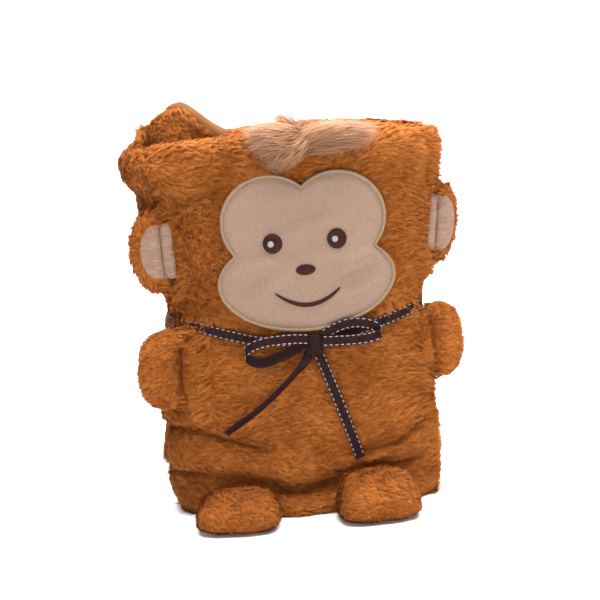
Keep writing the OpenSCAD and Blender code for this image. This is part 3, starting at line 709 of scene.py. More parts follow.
def face_line(extra, count):
    """The face's outline, with its corners eased, evenly spaced."""
    t = np.linspace(0, 2 * np.pi, 1441)[:-1]
    r = face_reach(t) + extra
    p = np.stack([FACE_X + r * np.cos(t), FACE_Z + r * np.sin(t)], 1)
    kernel = np.hanning(17)[1:-1]
    kernel /= kernel.sum()
    wrap = np.concatenate([p[-8:], p, p[:8]])
    p = np.stack([np.convolve(wrap[:, k], kernel, "same")[8:-8] for k in (0, 1)], 1)
    closed = np.concatenate([p, p[:1]])
    run = run_along(closed)
    return placed(np.linspace(0, run[-1], count + 1)[:-1], run, closed)


# Soft puckers of the face: from and to in x and z, the depth and the width
PUCKERS = [
    ((-70, 232), (-30, 246), 1.5, 7), ((-40, 262), (36, 282), 1.2, 9), ((-20, 232), (30, 248), 0.9, 8),
    ((72, 236), (44, 226), 1.4, 7), ((-52, 205), (-30, 222), 1.0, 8), ((28, 204), (58, 214), 0.9, 8),
]


def puckers(x, z):
    """How far the face stands off its flat height: soft swells and slanting puckers."""
    total = 0.8 + 0.6 * waves(np.stack([x, 0 * x, z], -1), 75, 41)
    for (x0, z0), (x1, z1), deep, wide in PUCKERS:
        dx, dz = x1 - x0, z1 - z0
        run = math.hypot(dx, dz)
        t = ((x - x0) * dx + (z - z0) * dz) / run**2
        off = ((x - x0) * dz - (z - z0) * dx) / run / wide
        fade = bell(np.maximum(0, np.abs(t - 0.5) - 0.3) * run / 12)
        total = total + 2.5 * deep * fade * off * np.exp(0.5 - off * off / 2)
    return total


def make_face_patch():
    """The velour patch: rings from its middle to its edge, and a flat underside."""
    count, rows = 240, 34
    line = face_line(0.8, count)
    shares = rounded(0.02, 1, rows)
    mid = np.array([FACE_X, FACE_Z])
    flat = mid + (line - mid)[None] * shares[:, None, None]
    x, z = flat[..., 0], flat[..., 1]
    full = 1 - shares[:, None] ** 6
    rise = PATCH_TOP - 1.1 * ease((shares - 0.9) / 0.1)[:, None] + puckers(x, z) * full
    top, under = front(x, z, np.maximum(rise, PATCH_LEAST)), front(x, z, 0.3)
    n = rows * count
    quads = grid_quads(rows, count, wrap_cols=True)[:, ::-1]
    ring, nxt = np.arange(count), (np.arange(count) + 1) % count
    rim = n - count
    edge = np.stack([rim + ring, rim + nxt, n + rim + nxt, n + rim + ring], 1)[:, ::-1]
    hub = np.stack([0 * ring + 2 * n, ring, nxt], 1)
    hub_under = np.stack([0 * ring + 2 * n + 1, n + nxt, n + ring], 1)
    centre = [top[0].mean(0), under[0].mean(0)]
    points = np.concatenate([top.reshape(-1, 3), under.reshape(-1, 3), centre])
    faces = np.concatenate([quads, quads[:, ::-1] + n, edge])
    obj = mesh_from("face_velour", points, faces, np.concatenate([hub, hub_under]))
    finish(obj, VELOUR, "body", "velour", "face_patch")


def make_face_border():
    """Satin stitch round the patch: a low ridge, with a ripple for each few threads."""
    count = 1100
    inner, outer = face_line(0.2, count), face_line(BORDER_W, count)
    thread = 0.16 * np.sin(np.arange(count) * 2 * np.pi / 3.0)
    ridge = ((0.0, 0.5), (0.03, 2.0), (0.25, 2.95), (0.5, 3.2), (0.75, 2.9), (0.97, 1.9), (1.0, 0.5))
    rings = []
    for share, off in ridge:
        p = inner + (outer - inner) * share
        rings.append(front(p[:, 0], p[:, 1], off + (thread if off > 1 else 0)))
    obj = tube("face_satin_stitch", np.stack(rings, 1), closed=True)
    finish(obj, BORDER, "body", "border_thread", "face_border")


def stitched_oval(name, x, z, w, h, base, rise, mat, slot, node):
    """A padded oval of satin stitch on the face."""
    t = np.linspace(0, 2 * np.pi, 73)[:-1]
    shares = np.array([0.12, 0.3, 0.5, 0.68, 0.82, 0.92, 0.98, 1.0, 1.0])
    edge = 1 + 0.012 * np.sin(t * 31) + 0.008 * np.sin(t * 53 + 1)
    px = x + w / 2 * np.cos(t) * shares[:, None] * edge
    pz = z + h / 2 * np.sin(t) * shares[:, None] * edge
    off = base + rise * (1 - shares**6 * 0.55)
    off[-1] = base - 0.7
    rings = front(px, pz, off[:, None] + np.maximum(puckers(px, pz), PATCH_LEAST - PATCH_TOP))
    finish(tube(name, rings[::-1]), mat, "body", slot, node)


def make_features():
    """The eyes with their glints, the nose and the mouth."""
    on, brown = PATCH_TOP + 0.6, (BROWN, "brown_thread")
    for s, word in SIDES:
        x, z = FACE_X + s * 31, BROW_AT - 18
        stitched_oval(f"eye_stitch_{word}", x, z, 18.5, 18.5, on, 1.3, *brown, f"eye_{word}")
        glint = (x - 1.9, z, 5.6, 5.6, PATCH_TOP + 1.9, 0.7)
        stitched_oval(f"glint_stitch_{word}", *glint, GLINT, "glint_thread", f"eye_glint_{word}")
    stitched_oval("nose_stitch", FACE_X - 1, BROW_AT - 44, 19, 10, on, 1.3, *brown, "nose")
    u = np.linspace(-1, 1, 81)
    x = FACE_X + u * 32
    z = BROW_AT - 77.5 + 13.5 * u * u
    half = 0.35 + 1.75 * np.sqrt(np.clip(1 - np.abs(u) ** 2.4, 0, 1))
    rings = []
    for k, off in ((-1, 0.1), (-0.9, 0.9), (-0.45, 1.45), (0.45, 1.45), (0.9, 0.9), (1, 0.1)):
        at = z + k * half
        rings.append(front(x, at, off + np.maximum(PATCH_TOP + puckers(x, at), PATCH_LEAST)))
    finish(tube("mouth_stitch", np.stack(rings, 1)[:, ::-1]), BROWN, "body", "brown_thread", "mouth")


# Ears and arms: stuffed flaps about the line of their joints; lengths, half heights and half thicknesses

EAR_LEN, EAR_R, EAR_T = 26, 39.5, 7.5
ARM_LEN, ARM_R, ARM_T = 34, 37.5, 11
# How far each flap stands to the front of straight out, left and right, in degrees
FLAP_LEANS = {"ear": (-10, -36), "arm": (8, -25)}
# A crease's half length as a share of its flap's, and the flap's gap from it
CREASE_SHARE, CREASE_GAP = 0.66, 1.35
# Length of the flaps' pile, and of the pile that closes the crease's ends
FLAP_PILE, END_PILE = 6.5, 10
# How much smaller a pad is than its solid, and how much of it beside the crease the stuffing can't move
PAD_INSET, PAD_HELD = 0.9, 5


def laid_on(obj, points, way):
    """Each point moved along a way on to the surface of a piece, from its far side."""
    mesh = obj.data
    tree = BVHTree.FromPolygons([v.co / MM for v in mesh.vertices], [f.vertices for f in mesh.polygons])
    out = np.array(points)
    for q in out.reshape(-1, 3):
        hit = tree.ray_cast(Vector(q + 60 * way), Vector(-way))[0]
        if hit is not None:
            q[:] = hit
    return out


def hinge(name):
    """A joint's place in mm, and its axis."""
    j = next(j for j in frame["joints"] if j["name"] == name)
    return np.array(j["pos_m"], float) / MM, unit(np.array(j["axis"], float))


def flap_frame(s, word, kind):
    """The crease's middle, the way out, the way along (up on the right) and the way to the front."""
    m, up = hinge(f"{kind}_{word}_fold")
    v = s * up * np.sign(up[2])
    lean = math.radians(FLAP_LEANS[kind][s > 0])
    u0 = np.array([s * math.cos(lean), -math.sin(lean), 0])
    u = unit(u0 - v * (u0 @ v))
    return m, u, v, np.cross(u, v)


def on_plane(place, flat):
    """The points of a flat drawing, on a flap's plane."""
    m, u, v = place[:3]
    return m + flat[..., :1] * u + flat[..., 1:] * v


def flat_of(place, p):
    m, u, v = place[:3]
    return np.stack([(p - m) @ u, (p - m) @ v], 1)


def flap_ring(reach, r, power):
    """A flap's outline: a squared half oval, and a straight side beside the crease."""
    t = np.radians(np.linspace(-90, 90, 64))
    arc = np.stack([CREASE_GAP + reach * squared(np.cos(t), power), r * squared(np.sin(t), power)], 1)
    side = np.stack([np.full(17, CREASE_GAP), r * np.linspace(1, -1, 19)[1:-1]], 1)
    return np.concatenate([arc, side])


def flap_solid(name, place, ring, mid, thick):
    """A pad over the outline, as full as the solid, a little smaller."""
    mid = np.asarray(mid)
    shares = rounded(0.04, 1, 16)
    size = 1 - PAD_INSET / np.abs(ring).max()
    rows = []
    for face in (1, -1):
        for s in shares[::face]:
            h = face * ((thick - PAD_INSET) * np.sqrt(max(0, 1 - s**2.2)) + 0.25)
            rows.append(on_plane(place, mid + (ring - mid) * s * size) + h * place[3])
    return tube(name, np.stack(rows)[:, ::-1])


# The stuffing: size of the even mesh in mm, the pressure, and the steps it acts for
PUFF_VOXEL, PUFF_PRESSURE, PUFF_STEPS = 3, 4, 20


def puff(obj, cap, pinned):
    """Stuffs a pad: cloth under pressure from inside, held where pinned, then smoothed."""
    mod = obj.modifiers.new("even", "REMESH")
    mod.mode = "VOXEL"
    mod.voxel_size = PUFF_VOXEL * MM
    mod.adaptivity = 0
    swap(obj)
    start = own_points(obj)[0]
    group = obj.vertex_groups.new(name="held")
    held = np.nonzero(pinned(start))[0].tolist()
    group.add(held, 1.0, "REPLACE")
    mod = obj.modifiers.new("stuffed", "CLOTH")
    mod.settings.use_pressure = True
    mod.settings.uniform_pressure_force = PUFF_PRESSURE
    mod.settings.effector_weights.gravity = 0
    mod.settings.vertex_group_mass = "held"
    for step in range(1, PUFF_STEPS + 1):
        bpy.context.scene.frame_set(step)
    swap(obj)
    bpy.context.scene.frame_set(1)
    moved = own_points(obj)[0] - start
    far = np.linalg.norm(moved, axis=1, keepdims=True)
    moved *= np.minimum(1, cap / np.maximum(far, 1e-9))
    obj.data.vertices.foreach_set("co", ((start + moved) * MM).ravel())
    obj.modifiers.new("smooth", "SMOOTH").iterations = 2
    obj.modifiers.new("finer", "SUBSURF").levels = 1
    swap(obj)
    obj.data.polygons.foreach_set("use_smooth", np.ones(len(obj.data.polygons), bool))
    obj.data.update()


def swap(obj):
    """Applies every modifier to the object's own mesh."""
    bpy.context.view_layer.update()
    made = bpy.data.meshes.new_from_object(obj.evaluated_get(bpy.context.evaluated_depsgraph_get()))
    obj.modifiers.clear()
    old = obj.data
    obj.data = made
    bpy.data.meshes.remove(old)


def make_pad(s, word, kind, size, left, power, full, cap, *nodes):
    """A flap's stuffed pad, a little larger on the left; returns it and its frame."""
    place = flap_frame(s, word, kind)
    m, u = place[:2]
    reach, r, thick = size
    ring = flap_ring(reach + left[0] * (s < 0), r + left[1] * (s < 0), power)
    pad = flap_solid(f"{kind}_pad_{word}", place, ring, (reach * full, 0), thick)
    puff(pad, cap, lambda p: (p - m) @ u < PAD_HELD)
    finish(pad, PLUSH_GROUND, f"{kind}_{word}", "plush", *[f"{kind}_{node}_{word}" for node in nodes])
    return pad, place


def make_lining(pad, place, tall, deep, word):
    """The ear's lining, a D beside the crease, laid on the pad."""
    w = place[3]
    t = np.radians(np.linspace(-90, 90, 48))
    arc = np.stack([1.0 + deep * np.cos(t) ** 0.85, tall * np.sign(np.sin(t)) * np.abs(np.sin(t)) ** 0.9], 1)
    side = np.stack([np.full(15, 1.0), tall * np.linspace(1, -1, 17)[1:-1]], 1)
    mid = np.array([deep * 0.45, 0])
    shares = np.concatenate([rounded(0.05, 1, 16), [1.0]])
    flat = mid + (np.concatenate([arc, side]) - mid)[None] * shares[:, None, None]
    lift = 1.3 - 0.9 * shares**8
    lift[-1] = -1.2
    top = laid_on(pad, on_plane(place, flat), w) + w * lift[:, None, None]
    under = on_plane(place, flat[::6][::-1]) + w * 0.5
    lining = tube(f"ear_velour_{word}", np.concatenate([top, under])[:, ::-1])
    finish(lining, LINING, f"ear_{word}", "velour", f"ear_lining_{word}")


def make_ear(s, word):
    pad, place = make_pad(s, word, "ear", (EAR_LEN, EAR_R, EAR_T), (4, 1.5), 2.1, 0.42, 3, "shell")
    _, u, v, w = place
    tall, deep = EAR_R * CREASE_SHARE, EAR_LEN * 0.74
    make_lining(pad, place, tall, deep, word)
    p, n = pile_places(pad, 2.5, 61 + s)
    flat = flat_of(place, p)
    over = ((flat[:, 0] - 1) / (deep - 1.8)) ** 2 + (flat[:, 1] / (tall - 2)) ** 2 < 1
    keep = ~(over & (n @ w > 0.0)) & (flat[:, 0] > 1)
    p, n, flat = p[keep], n[keep], flat[keep]
    out = unit((flat[:, :1] - 8) * u + flat[:, 1:] * v) + 0.5 * lay_of(p) + np.array([0, 0, -0.2])
    ends = (flat[:, 0] < 10) & (np.abs(flat[:, 1]) > tall - 2)
    out[ends] = 0.25 * np.sign(flat[ends, 1:]) * v - u + 0.3 * w
    clumps(p, n, f"ear_pile_{word}", f"ear_{word}", 63 + s, np.where(ends, END_PILE, FLAP_PILE), way=out)


def make_arm(s, word):
    pad, place = make_pad(s, word, "arm", (ARM_LEN, ARM_R, ARM_T), (5, 2), 2.7, 0.46, 4, "front", "back")
    m, u, _, w = place
    p, n = pile_places(pad, 2.6, 71 + s)
    keep = (p - m) @ u > 1.5
    p, n = p[keep], n[keep]
    flat = flat_of(place, p)
    out = u + np.array([0, 0, -0.3]) + 0.5 * lay_of(p) * [s, 1, 1]
    ends = (flat[:, 0] < 8) & (np.abs(flat[:, 1]) > CREASE_SHARE * ARM_R - 2)
    out[ends] = 0.3 * w - u
    clumps(p, n, f"arm_pile_{word}", f"arm_{word}", 73 + s, np.where(ends, END_PILE, FLAP_PILE), way=out)


SEAMS = []


def strip_rings(s, v, k, p, seam):
    """Rings of a padded strip from a crease at p to its seam; k runs along it."""
    inward = unit(seam - p)
    facing = unit(np.cross(inward, np.broadcast_to(s * v, p.shape)) * -s)
    edge = p - inward * 1.3
    full = np.clip(1 - np.abs(2 * k - 1) ** 10, 0.02, 1) ** 0.5
    middle_line = (seam + edge) / 2
    seam, edge = (middle_line + (q - middle_line) * full for q in (seam, edge))
    wavy = 1 + 0.12 * waves(p, 14, 86)[:, None]
    rows = []
    for t in np.linspace(0, 180, 15):
        bulge = 0.4 + 2.8 * wavy * full * sind(t) ** 0.7
        rows.append(seam + (edge - seam) * (1 - cosd(t)) / 2 + facing * bulge)
    for t in (0.85, 0.5, 0.15):
        rows.append(seam + (edge - seam) * t - facing * 0.2)
    rings = np.stack(rows, 1)
    return rings[:, ::-1] if s < 0 else rings


def sewn_at(p, s, wide):
    """The seam on the roll, beside places on a crease."""
    return front(s * (np.abs(p[:, 0]) - wide), p[:, 2], 0.3)


def make_root(s, word, kind, size, wide):
    """The padded strip between a flap's crease and its seam on the roll, and the stitched crease."""
    m, _, v, w = flap_frame(s, word, kind)
    reach = CREASE_SHARE * size
    low, high = m - s * v * reach, m + s * v * reach
    k = np.linspace(0, 1, 48)[:, None]
    p = low + (high - low) * k
    beyond = low + (high - low) * np.linspace(-0.22, 1.22, 24)[:, None]
    SEAMS.append((sewn_at(beyond, s, wide), s))
    strip = tube(f"{kind}_strip_{word}", strip_rings(s, v, k, p, sewn_at(p, s, wide)))
    line, node = f"{kind}_stitches_{word}", f"{kind}_crease_{word}"
    if kind == "ear":
        finish(strip, LINING, "body", "velour", f"ear_root_{word}")
        stitch_line(line, low + 0.6 * w, high + 0.6 * w, node, PALE)
        return
    finish(strip, PLUSH_GROUND, "body", "plush", f"arm_root_{word}")
    q, n = pile_places(strip, 2.7, 81 + s)
    keep = n[:, 1] < 0.3
    clumps(q[keep], n[keep], f"arm_strip_pile_{word}", "body", 83 + s, 6)
    stitch_line(line, low, high, node)


def make_roots():
    for kind, size, wide in (("ear", EAR_R, (6.5, 8)), ("arm", ARM_R, (13, 11))):
        for s, word in SIDES:
            make_root(s, word, kind, size, wide[s > 0])


def stitch_line(name, a, b, node, mat=SEAM):
    """A line of drawn-in stitches from a to b."""
    way = unit(b - a)
    e = unit(np.cross(way, [0.3, 1, 0.2]))
    f = np.cross(way, e)
    t = np.radians(np.arange(0, 360, 45))
    along = np.linspace(0, np.linalg.norm(b - a), 60)
    r = 0.95 * (0.62 + 0.38 * np.abs(np.sin(along * np.pi / 3.2)))
    spokes = np.cos(t)[:, None] * e + np.sin(t)[:, None] * f
    rings = (a + way * along[:, None])[:, None] + r[:, None, None] * spokes
    finish(tube(name, rings), mat, "body", "seam_thread", node)


# Feet: stuffed pads that lift about the seam under the belly; the right one is higher

FOOT_LEN, FOOT_W, FOOT_H = 54, 74, (36, 44)
SOLE_PILE, FOOT_PILE = 4.6, 5.5


def make_foot(s, word):
    m, axis = hinge(f"foot_{word}_lift")
    v, up = axis * -1, np.array([0, 0, 1.0])
    u = np.cross(v, up)
    place = m, u, v, up
    inset, edge_z = -1.3, 9
    t = np.radians(np.linspace(0, 360, 97)[:-1])
    out, across = FOOT_LEN / 2 * (1 + squared(np.cos(t), 3)), FOOT_W / 2 * squared(np.sin(t), 3)
    mid = np.array([FOOT_LEN * 0.4, 0])
    ring = mid + (np.stack([0.6 + out, across], 1) - mid) * (1 - inset / 34)
    rows = []
    for share in rounded(0.05, 1, 18):
        flat = mid + (ring - mid) * share
        crown = FOOT_H[s > 0] - inset - edge_z * flat[:, 0] / FOOT_LEN - edge_z
        z = edge_z + crown * math.sqrt(max(0, 1 - share**4))
        rows.append(on_plane(place, flat) + (z - m[2])[:, None] * up)
    for share in rounded(1, 0.05, 12):
        z = 1.8 + 5 * share**8
        rows.append(on_plane(place, mid + (ring - mid) * share) + (z - m[2]) * up)
    pad = tube(f"foot_pad_{word}", np.stack(rows))
    puff(pad, 4, lambda p: ((p - m) @ u < PAD_HELD) | (p[:, 2] < 4))
    finish(pad, PLUSH_GROUND, f"foot_{word}", "plush", f"foot_upper_{word}", f"foot_sole_{word}")
    p, n = pile_places(pad, 2.6, 91 + s)
    flat = flat_of(place, p)
    keep = flat[:, 0] > 1.5
    p, n, flat = p[keep], n[keep], flat[keep]
    way = 0.8 * u + flat[:, 1:] / 40 * v + 0.7 * lay_of(p) + np.array([0, 0, 0.1])
    length = np.where(n[:, 2] < -0.4, SOLE_PILE, FOOT_PILE)
    clumps(p, n, f"foot_pile_{word}", f"foot_{word}", 93 + s, length, way=way)
    reach = FOOT_W * 0.36
    tucked = m + 2 * u - 4 * up
    stitch_line(f"foot_stitches_{word}", tucked - v * reach, tucked + v * reach, f"foot_seam_{word}")


# Hair: long fibres that sweep from a backing tape at the brow

HAIR_Z = ROLL_H - 22
HAIR_STEPS = np.linspace(0, 1, 9)
HAIR_TAPER = np.array([0.7, 1, 1, 1, 0.9, 0.8, 0.62, 0.4, 0.1])
# Each lock: its root and its tip in x and z, its bow to the front and upwards,
# its half width, its count and its tone
LOCKS = [
    ((6, 353), (-38, 360), 7, 3, 8, 330, 0.5), ((5, 351), (-34, 350), 9, 2, 8, 380, 0.4),
    ((6, 350), (-28, 339), 9, 1, 8, 380, 0.5), ((7, 349), (-18, 329), 9, 0, 8, 420, 0.62),
    ((14, 353), (-5, 335), 9, 2, 5, 240, 0.85), ((8, 354), (-12, 374), 4, -2, 5, 240, 0.15),
    ((12, 355), (11, 368), 4, 0, 3, 60, 0.3), ((9, 344), (42, 361), 8, 3, 8, 340, 0.35),
    ((12, 345), (58, 358), 9, 4, 8, 420, 0.42), ((14, 346), (72, 352), 9, 5, 8, 480, 0.38),
    ((14, 344), (64, 345), 9, 4, 7, 380, 0.3), ((10, 342), (44, 341), 8, 3, 6, 260, 0.25),
]


def make_hair_tape():
    x, z = np.linspace(FACE_X - 24, FACE_X + 48, 40), np.linspace(HAIR_Z, HAIR_Z + 13, 9)
    gx, gz = np.meshgrid(x, z)
    top = front(gx, gz, GAP + 1.2 + 0.2 * waves(np.stack([gx, 0 * gx, gz], -1), 6, 51))
    under = front(gx, gz, 0 * gx + GAP)
    rings = np.concatenate([top, under[:, ::-1]], 1)
    finish(tube("hair_tape", rings[::-1]), PLUSH_GROUND, "body", "hair", "hair_backing")


def hair_lock(r, root, tip, bow, lift, size, count, shade):
    """One lock: pairs of points along its fibres, the fibres' tones and the ways they face."""
    count = int(count * 1.7)
    ends = []
    for (x, z), stand in ((root, 2.5), (tip, 4.0)):
        ends.append(front(x, min(z, ROLL_H), stand) + [0, 0, max(0, z - ROLL_H)])
    a, b = ends
    side = unit(np.cross(unit(b - a), [0, -1, 0.2]))
    spot = np.sqrt(r.random(count)) * size
    angle = r.uniform(0, TURN, count)
    off = side * (np.cos(angle) * spot)[:, None]
    off = off + np.array([0, -0.45, 0]) * (spot * (1 + np.sin(angle)))[:, None]
    start = r.normal(0, 1, (count, 3)) * [4, 0.8, 1.8]
    flare = r.normal(0, 1, count)
    longer = r.uniform(0.7, 1.12, count)
    wild = r.normal(0, 1, (count, 3)) * [2.2, 1.4, 2.2]
    curl = r.uniform(0.8, 3.2, count)
    phase = r.choice(r.uniform(0, TURN, 7), count)
    line = []
    for s in HAIR_STEPS:
        q = s * longer
        arch = np.sin(np.pi * np.minimum(q, 1))[:, None]
        full = 0.55 + 0.45 * np.sin(np.pi * np.clip(0.15 + 0.8 * q, 0, 1)) - 0.35 * q
        mid = a + start + (b - a) * q[:, None] + np.array([0, -bow, lift]) * arch
        mid = mid + off * full[:, None]
        mid = mid + side * (flare * 2.4 * q**2)[:, None] + wild * (q * q)[:, None]
        line.append(mid + side * (curl * np.sin(phase + 5.5 * q) * q)[:, None])
    line = np.stack(line, 1)
    low = np.minimum(line[..., 2], ROLL_H)
    limit = front(line[..., 0], low, 1.2 + 0 * low)[..., 1]
    line[..., 1] = np.where(line[..., 2] < ROLL_H + 4, np.minimum(line[..., 1], limit), line[..., 1])
    way = unit(np.gradient(line, axis=1))
    edge = unit(np.cross(way, np.array([0.1, -1, 0.25]) + r.normal(0, 0.35, (count, 1, 3))))
    half = edge * (r.uniform(0.28, 0.55, count)[:, None] * HAIR_TAPER)[..., None] / 2
    pairs = np.stack([line - half, line + half], 2).reshape(count, -1, 3)
    # Painted light: fibres on a lock's upper side get lighter tones and those on its underside darker ones.
    tone = np.clip(shade + 0.2 * np.cos(angle) * side[2] + r.normal(0, 0.16, count), 0, 1)
    facing = np.array([0, -0.8, 0.5]) + side * np.cos(angle)[:, None] * 0.7 + r.normal(0, 0.25, (count, 3))
    return pairs, tone, unit(facing)


def make_hair():
    make_hair_tape()
    r = np.random.default_rng(55)
    pairs, tones, facing = (np.concatenate(v) for v in zip(*[hair_lock(r, *lock) for lock in LOCKS]))
    count, per = pairs.shape[:2]
    first = np.arange(count)[:, None, None] * per
    quads = first + np.arange(per // 2 - 1)[None, :, None] * 2 + np.array([0, 1, 3, 2])
    uv = np.stack([np.repeat(tones, per), np.tile(np.repeat(HAIR_STEPS, 2), count)], 1) * 0.98 + 0.01
    normals = np.repeat(facing, per, axis=0)
    obj = mesh_from("hair_locks", pairs.reshape(-1, 3), quads.reshape(-1, 4), (), uv, normals)
    finish(obj, HAIR, "body", "hair", "hair_tuft")


# Ribbon: a band round the neck, a bow and two tails

KNOT_W, KNOT_H, KNOT_T = 13, 12, 8
KNOT_X, KNOT_Z = FACE_X + 3, NECK_FRONT
RIBBON_T, DASH_PITCH, DASH_LEN = 0.8, 5.2, 2.9


def knot_middle():
    lo, hi = (np.array(v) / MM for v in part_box("bow_knot"))
    return (lo + hi) / 2


def ribbon_strip(name, path, facing, width, closed=False):
    """A flat ribbon along a path, facing a way at each point; also returns its normals and edges."""
    if closed:
        way = unit(np.roll(path, -1, 0) - np.roll(path, 1, 0))
    else:
        way = unit(np.gradient(path, axis=0))
    n = tangent(facing, way)
    e = unit(np.cross(n, way))
    rings = []
    for up in (-1, 1):
        for k in (-1, -0.5, 0, 0.5, 1)[::-up]:
            thick = RIBBON_T / 2 * (0.6 if abs(k) == 1 else 1)
            rings.append(path + e * k * width / 2 + n * (up * thick))
    return tube(name, np.stack(rings, 1), closed), n, e


def dashes(name, path, n, e, body, closed=False):
    """Running stitches along both edges of a ribbon."""
    path, n, e = (np.concatenate([v, v[:1]]) if closed else v for v in (path, n, e))
    run = run_along(path)
    along = DASH_LEN * np.array([0, 0.12, 0.5, 0.88, 1])
    half = 0.33 * np.array([0.5, 1, 1, 1, 0.5])[:, None]
    up = 0.30 * np.array([0.15, 0.8, 1, 0.8, 0.15])[:, None]
    points, quads = [], []
    for side in (-1, 1):
        for s in np.arange(1.2, run[-1] - DASH_LEN, DASH_PITCH):
            p, nn, ee = (placed(s + along, run, v) for v in (path, n, e))
            nn, ee = unit(nn), unit(ee)
            mid = p + ee * side * (RIBBON_W / 2 - 0.95) + nn * (RIBBON_T / 2 - 0.05)
            low, high = ee * half, ee * half * 0.6
            rows = [mid - low, mid - high + nn * up, mid + high + nn * up, mid + low]
            points.append(np.stack(rows, 1).reshape(-1, 3))
            quads.append(grid_quads(5, 4, wrap_cols=True, start=20 * len(quads)))
    finish(mesh_from(name, np.concatenate(points), np.concatenate(quads)), DASH, body, "ribbon")


def make_band():
    """The ribbon round the neck, drawn taut over the hollows."""
    a = np.arange(SHEET_FROM, SHEET_FROM + 360, 2.0)
    p = skin(a, neck_at(a), 1.6 + 0 * a)
    flat = p[:, :2]
    for _ in range(200):
        near = (np.roll(flat, 1, 0) + np.roll(flat, -1, 0)) / 2
        out = unit(flat - np.array([ROLL_X, 0]))
        push = ((near - flat) * out).sum(1, keepdims=True)
        flat = flat + np.where(push > 0, near - flat, 0)
    p[:, :2] = flat
    p[:, 2] += 0.7 * waves(p, 45, 61)
    facing = np.concatenate([outward(a, neck_at(a)), 0 * a[:, None] + 0.08], 1)
    obj, n, e = ribbon_strip("neck_ribbon", p, facing, RIBBON_W, closed=True)
    finish(obj, RIBBON, "body", "ribbon", "ribbon_band")
    RIBBON_LINES.append(p[np.abs(p[:, 0]) < 62] - [0, 0, 2])
    dashes("neck_ribbon_stitches", p, n, e, "body", closed=True)


def make_knot():
    """The knot, and the folded ribbon that comes out of it into each tail."""
    mid = knot_middle()
    t = np.radians(np.linspace(0, 360, 49)[:-1])
    rows = []
    for k in np.linspace(-1, 1, 15):
        fat = math.sqrt(max(0.02, 1 - abs(k) ** 3.5))
        wide = KNOT_W / 2 * (0.82 + 0.18 * k * k)
        fold = 1 + 0.07 * np.sin(3 * t + 2 * k) + 0.05 * np.cos(5 * t - k)
        y, z = -KNOT_T / 2 * fat * np.cos(t) * fold, KNOT_H / 2 * fat * np.sin(t) * fold
        rows.append(mid + np.stack([k * wide + 0 * t, y, z], 1))
    obj = tube("ribbon_knot", np.stack(rows)[:, ::-1])
    finish(obj, RIBBON, "body", "ribbon", "bow_knot")
    for s, word in SIDES:
        top, low = mid + [0.3 * s * RIBBON_W, 1.5, 0], tail_path(s)[0]
        path = spline([top, (top + low) / 2 + [0, -0.6, -1], low + 0.8 * unit(low - top)], 16)
        stub, _, _ = ribbon_strip(f"ribbon_stub_{word}", path, np.array([[0, -1, 0.1]]), RIBBON_W * 0.8)
        finish(stub, RIBBON, "body", "ribbon")


def spline(keys, count):
    """A smooth line through a few points."""
    keys = np.asarray(keys, float)
    ends = np.concatenate([2 * keys[:1] - keys[1:2], keys, 2 * keys[-1:] - keys[-2:-1]])
    t = np.linspace(0, len(keys) - 1.0001, count)
    i = t.astype(int)
    f = (t - i)[:, None]
    a, b, c, d = (ends[i + k] for k in range(4))
    return b + 0.5 * f * (c - a + f * (2 * a - 5 * b + 4 * c - d + f * (3 * (b - c) + d - a)))


# Each loop's middle line from the knot's middle, out and back
LOOPS = {
    "left": [(-6, -1, 2), (-22, -4, 4), (-42, -6, 4), (-57, -6, 1), (-64, -3, -5),
             (-61, 1.5, -13), (-50, 2, -17), (-34, 1.5, -13), (-18, 1.5, -7), (-7, 1, -2)],
    "right": [(6, 1, 3), (18, 1.5, 9), (32, 1.5, 13), (47, 1, 12), (57, -1.5, 8),
              (59, -4, 3), (52, -6, 0), (36, -6, -1), (20, -4, -1), (7, -1.5, -1)],
}


def make_loop(s, word):
    path = knot_middle() + spline(LOOPS[word], 90)
    facing = np.cross([0, 0.25, 1], np.gradient(path, axis=0))
    obj, n, e = ribbon_strip(f"bow_ribbon_{word}", path, facing, RIBBON_W)
    finish(obj, RIBBON, f"loop_{word}", "ribbon", f"bow_loop_{word}")
    dashes(f"bow_stitches_{word}", path, n, e, f"loop_{word}")
    if s > 0:
        dashes(f"bow_back_stitches_{word}", path[2:48], -n[2:48], e[2:48], f"loop_{word}")


def tail_line(s):
    """A tail's middle in x and z, from just below the knot."""
    end = np.array([(-81, 84), (46.5, 50)][s > 0], float)
    start = np.array([KNOT_X + s * (RIBBON_W / 2 - 1.25), KNOT_Z - KNOT_H / 2 - 6])
    begin = start + unit(end - start) * 2
    u = np.linspace(0, 1, 70)
    p = begin + (end - begin) * u[:, None]
    across = unit(np.array([-(end - begin)[1], (end - begin)[0]]))
    return u, p + across * (np.sin(np.pi * u) * (3.5 if s < 0 else 0.8))[:, None]


def tail_path(s):
    u, p = tail_line(s)
    twist = tail_twist(s, u)
    return front(p[:, 0], p[:, 1], GAP + 1.8 + 1.2 * np.sin(np.pi * u) + 3.4 * np.sin(twist))


def tail_twist(s, u):
    return np.radians(48) * ease(u / 0.2) * (s < 0)


def make_tail(s, word):
    u, p = tail_line(s)
    path = tail_path(s)
    twist = tail_twist(s, u)
    a = angle_at(p[:, 0], p[:, 1])
    out = np.concatenate([outward(a, p[:, 1]), 0 * u[:, None]], 1)
    side = unit(np.cross(out, np.gradient(path, axis=0)))
    facing = out * np.cos(twist)[:, None] + side * np.sin(twist)[:, None]
    obj, n, e = ribbon_strip(f"ribbon_end_{word}", path, facing, RIBBON_W)
    RIBBON_LINES.append(path[::3])
    finish(obj, RIBBON, f"tail_{word}", "ribbon", f"ribbon_tail_{word}")
    if s > 0:
        dashes(f"ribbon_end_stitches_{word}", path, n, e, f"tail_{word}")


# Edge of the raised corner


